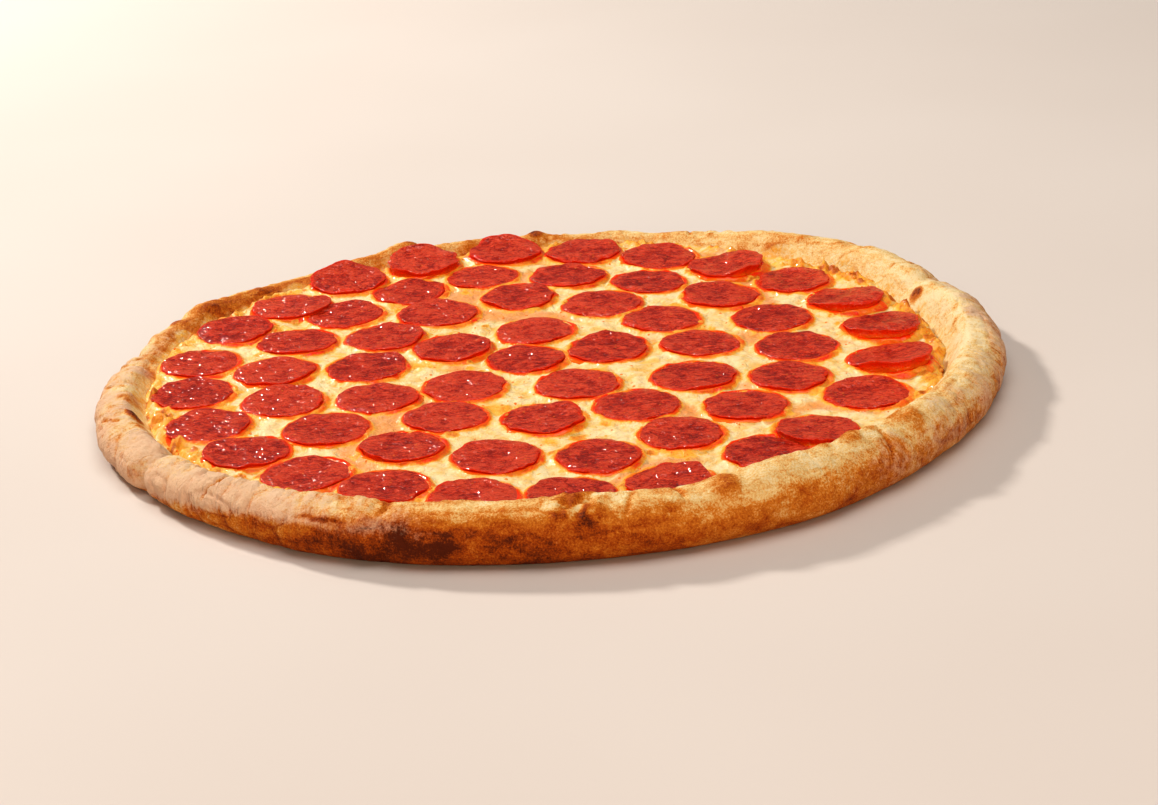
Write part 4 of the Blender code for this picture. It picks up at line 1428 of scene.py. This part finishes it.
class PizzaColours(bpy.types.PropertyGroup):
    """Colours of the dough, cheese, sausage and oil."""

    dough_pale: colour_property("Pale dough", "Dough that has hardly coloured", (0.92, 0.76, 0.47))
    dough_cream: colour_property("Cream dough", "Lightly baked dough on the crest", (0.86, 0.60, 0.25))
    dough_gold: colour_property("Golden dough", "Baked dough on the side", (0.68, 0.235, 0.022))
    dough_brown: colour_property("Brown dough", "Well baked dough near the base", (0.42, 0.078, 0.002))
    dough_dark: colour_property("Dark blisters", "Scorched blisters", (0.11, 0.018, 0.003))
    flour: colour_property("Flour", "Dry flour on the rim", (0.77, 0.52, 0.36))
    cheese_pale: colour_property("Pale cheese", "Thick melted cheese", (0.87, 0.72, 0.41))
    cheese_gold: colour_property("Golden cheese", "Thin oily cheese", (0.83, 0.50, 0.13))
    cheese_toasted: colour_property("Toasted cheese", "Browned flecks", (0.74, 0.25, 0.02))
    cheese_brown: colour_property("Brown cheese", "Crisp border", (0.50, 0.12, 0.008))
    sauce: colour_property("Sauce", "Tomato sauce that shows through", (0.78, 0.24, 0.05))
    oil: colour_property("Oil", "Orange oil in the cheese", (0.88, 0.20, 0.008))
    oil_thin: colour_property("Thin oil", "Where little oil has soaked into the cheese", (0.90, 0.46, 0.05))
    sausage_light: colour_property("Light sausage", "Rosy parts of a slice", (0.85, 0.085, 0.03))
    sausage_red: colour_property("Red sausage", "Most of a slice", (0.60, 0.024, 0.005))
    # Also the painted shade in the hollows of a slice's face
    sausage_dark: colour_property("Dark sausage", "Folds and lean parts", (0.28, 0.007, 0.002))
    # Partly the edge's own colour, partly a painted glow of light through the slice; also the painted red shadow on
    # the cheese
    sausage_edge_and_glow: colour_property("Edge of sausage", "Thin bright edge", (0.88, 0.034, 0.0))
    fat: colour_property("Fat", "Flecks of fat", (0.86, 0.26, 0.03))


class PizzaGrains(bpy.types.PropertyGroup):
    """Sizes and amounts of what is scattered on the pizza."""

    flour_size: size_property("Flour grain", "Largest radius of a grain of flour", 0.26 * MM)
    bead_size: size_property("Fat bead", "Largest radius of a bead of fat", 0.75 * MM)
    crumb_size: size_property("Crumb", "Largest radius of a crisp crumb", 1.4 * MM)
    flour_density: number_property("Flour density", "Grains on each square metre of floured dough", 30000.0, min=0.0)
    bead_density: number_property("Bead density", "Beads of fat on each square metre of cheese", 9000.0, min=0.0)
    crumb_density: number_property("Crumb density", "Crumbs on each square metre of crisp border", 26000.0, min=0.0)
    seed: bpy.props.IntProperty(name="Seed", default=31, min=0, description="Seed of every scatter")


class PizzaStage(bpy.types.PropertyGroup):
    """The camera, the floor and the lights."""

    elevation: number_property("Camera elevation", "Angle of the camera over the floor", math.radians(20.75),
                               subtype="ANGLE")
    distance: size_property("Camera distance", "From the middle of the pizza to the camera", 1.191, 0.1, 10.0)
    roll: number_property("Camera roll", "Turn of the camera about its own axis", math.radians(-2.99),
                          subtype="ANGLE")
    lens: number_property("Lens", "Focal length", 83.4, min=10.0, subtype="DISTANCE_CAMERA")
    aim: bpy.props.FloatVectorProperty(name="Aim", default=(0.0112, -0.0199, 0.0), subtype="TRANSLATION",
                                       unit="LENGTH", description="The point that the camera looks at")
    floor: colour_property("Floor", "Plain pale floor", (0.62, 0.565, 0.53))
    main_power: power_property("Main light", "Power of the light from behind on the left", 42.0)
    front_power: power_property("Front light", "Power of the light from the camera's side", 21.0)
    overhead_power: power_property("Overhead light", "Power of the broad light from above", 21.0)
    world_strength: number_property("Surroundings", "Strength of the light from all round", 0.17, min=0.0)


def show_as_part(piece, slot_name, *nodes):
    """Makes a finished piece ride on the pizza; slot_name is not used."""
    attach(piece, "root")
    if nodes:
        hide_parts(*nodes)


def find_piece(name):
    """A piece that an earlier operator made."""
    piece = bpy.data.objects.get(name)
    if piece is None:
        raise RuntimeError(f"{name} has to be made first")
    return piece


def node_of(key):
    """The node that holds a slice: a pair is one node, named after its lower slice."""
    for low, high in PAIRS:
        if key in (low, high):
            return "slice_pair_{}_{:02d}".format(low[0], low[1] + 1)
    return "slice_{}_{:02d}".format(key[0], key[1] + 1)


class PIZZA_OT_dough(bpy.types.Operator):
    """Make the baked dough"""

    bl_idname = "pizza.dough"
    bl_label = "Dough"

    def execute(self, context):
        piece = make_dough(dough_finish(context.scene.pizza_colours))
        show_as_part(piece, "crust", "crust")
        return {"FINISHED"}


class PIZZA_OT_cheese(bpy.types.Operator):
    """Make the melted cheese"""

    bl_idname = "pizza.cheese"
    bl_label = "Cheese"

    def execute(self, context):
        piece = make_cheese(slice_places(), cheese_finish(context.scene.pizza_colours))
        show_as_part(piece, "cheese", "cheese")
        return {"FINISHED"}


class PIZZA_OT_slices(bpy.types.Operator):
    """Make the sausage slices"""

    bl_idname = "pizza.slices"
    bl_label = "Sausage slices"

    def execute(self, context):
        finish = sausage_finish(context.scene.pizza_colours)
        places = slice_places()
        for number, place in enumerate(places):
            ring, step = place["key"]
            piece = make_slice(f"sausage_{ring}_{step + 1:02d}", place, number, places, finish)
            show_as_part(piece, "sausage", node_of(place["key"]))
        return {"FINISHED"}


class PIZZA_OT_oil(bpy.types.Operator):
    """Make the oil round the slices"""

    bl_idname = "pizza.oil"
    bl_label = "Oil"

    def execute(self, context):
        piece = make_oil(slice_places(), oil_finish(context.scene.pizza_colours))
        show_as_part(piece, "sausage")
        return {"FINISHED"}


class PIZZA_OT_grains(bpy.types.Operator):
    """Scatter flour on the dough, and crumbs and beads of fat on the cheese"""

    bl_idname = "pizza.grains"
    bl_label = "Flour, crumbs and beads"

    def execute(self, context):
        settings = context.scene.pizza_grains
        tree = grain_tree()
        for number, (name, (surface, slot_name, kind, finish, smallest, inputs)) in enumerate(GRAINS.items()):
            size = getattr(settings, f"{kind}_size")
            piece = scatter(name, find_piece(surface), tree, {
                **inputs, "Smallest": smallest * size, "Largest": size,
                "Density": getattr(settings, f"{kind}_density"), "Seed": settings.seed + number,
                "Material": finish(context.scene.pizza_colours)})
            show_as_part(piece, slot_name)
        return {"FINISHED"}


# Stage

FLOOR_HALF = 6.0
FLOOR_LEVEL = -0.3 * MM
# Lights, all turned to the middle of the pizza: place, size, name of the power in the settings, colour
LIGHTS = {
    "main_light": ((-1.3, 1.35, 1.25), (0.22, 0.22), "main_power", (1.0, 0.93, 0.84)),
    "front_light": ((0.1, -2.2, 0.75), (1.4, 0.9), "front_power", (1.0, 0.70, 0.46)),
    "overhead_light": ((0.1, -0.35, 1.9), (1.8, 1.8), "overhead_power", (1.0, 0.97, 0.93)),
}
WORLD_COLOUR = (1.0, 0.95, 0.9, 1)
SENSOR_WIDTH = 36.0
CLIP_END = 50.0


def aim_at(obj, place, target, roll=0.0):
    """Stands a camera or light at a place and turns it to a point."""
    forward = (Vector(target) - Vector(place)).normalized()
    right = forward.cross(Vector((0, 0, 1))).normalized()
    up = right.cross(forward)
    side = right * math.cos(roll) + up * math.sin(roll)
    upward = up * math.cos(roll) - right * math.sin(roll)
    turn = Matrix((side, upward, -forward)).transposed()
    obj.matrix_world = Matrix.Translation(place) @ turn.to_4x4()


def add_light(name, place, size, power, colour):
    light = bpy.data.lights.new(name, "AREA")
    light.shape = "RECTANGLE"
    light.size, light.size_y = size
    light.energy = power
    light.color = colour
    aim_at(add_object(name, light), place, (0, 0, 0))


def floor_finish(colour):
    """A plain pale matt floor."""
    material, tree, shader = new_finish("floor_finish")
    shade = reshape(tree, grain(tree, place_of(tree), 350 * MM, 2.0), 0.3, 0.7, 0.0, 0.05)
    tint = blend_colour(tree, shade, colour, (1.0, 1.0, 1.0))
    set_inputs(tree, shader, {"Base Color": tint, "Roughness": 0.75, "Specular IOR Level": 0.25})
    return material


class PIZZA_OT_stage(bpy.types.Operator):
    """Set up the camera, the floor and the lights"""

    bl_idname = "pizza.stage"
    bl_label = "Stage"

    def execute(self, context):
        stage = context.scene.pizza_stage
        data = bpy.data.meshes.new("floor")
        corners = [(x * FLOOR_HALF, y * FLOOR_HALF, FLOOR_LEVEL) for x, y in ((-1, -1), (1, -1), (1, 1), (-1, 1))]
        data.from_pydata(corners, [], [(0, 1, 2, 3)])
        data.materials.append(floor_finish(stage.floor))
        floor = add_object("floor", data)
        for name, (place, size, power, colour) in LIGHTS.items():
            add_light(name, place, size, getattr(stage, power), colour)
        world = bpy.data.worlds.new("studio")
        world.use_nodes = True
        back = world.node_tree.nodes["Background"]
        back.inputs[0].default_value = WORLD_COLOUR
        back.inputs[1].default_value = stage.world_strength
        context.scene.world = world
        camera_data = bpy.data.cameras.new("camera")
        camera_data.lens = stage.lens
        camera_data.sensor_width = SENSOR_WIDTH
        camera_data.sensor_fit = "HORIZONTAL"
        camera_data.clip_end = CLIP_END
        camera = add_object("camera", camera_data)
        stand = (0, -stage.distance * math.cos(stage.elevation), stage.distance * math.sin(stage.elevation))
        aim_at(camera, stand, tuple(stage.aim), stage.roll)
        context.scene.camera = camera
        context.scene.view_settings.view_transform = "Standard"
        context.scene.view_settings.look = "Medium High Contrast"
        return {"FINISHED"}


class PIZZA_PT_panel(bpy.types.Panel):
    """Lists the steps and settings of the pizza"""

    bl_idname = "PIZZA_PT_panel"
    bl_label = "Pizza"
    bl_space_type = "VIEW_3D"
    bl_region_type = "UI"
    bl_category = "Pizza"

    def draw(self, context):
        for operator in STEPS:
            self.layout.operator(operator.bl_idname)
        for group in (context.scene.pizza_colours, context.scene.pizza_grains, context.scene.pizza_stage):
            box = self.layout.box()
            for label in group.__annotations__:
                box.prop(group, label)


STEPS = (PIZZA_OT_stage, PIZZA_OT_dough, PIZZA_OT_cheese, PIZZA_OT_slices, PIZZA_OT_oil, PIZZA_OT_grains)
GROUPS = {"pizza_colours": PizzaColours, "pizza_grains": PizzaGrains, "pizza_stage": PizzaStage}


def register():
    for group in GROUPS.values():
        bpy.utils.register_class(group)
    for label, group in GROUPS.items():
        setattr(bpy.types.Scene, label, bpy.props.PointerProperty(type=group))
    for operator in STEPS:
        bpy.utils.register_class(operator)
    bpy.utils.register_class(PIZZA_PT_panel)


def unregister():
    bpy.utils.unregister_class(PIZZA_PT_panel)
    for operator in reversed(STEPS):
        bpy.utils.unregister_class(operator)
    for label, group in GROUPS.items():
        delattr(bpy.types.Scene, label)
        bpy.utils.unregister_class(group)


def main():
    register()
    bpy.ops.pizza.stage()
    bpy.ops.pizza.dough()
    bpy.ops.pizza.cheese()
    bpy.ops.pizza.slices()
    bpy.ops.pizza.oil()
    bpy.ops.pizza.grains()


if __name__ == "__main__":
    main()
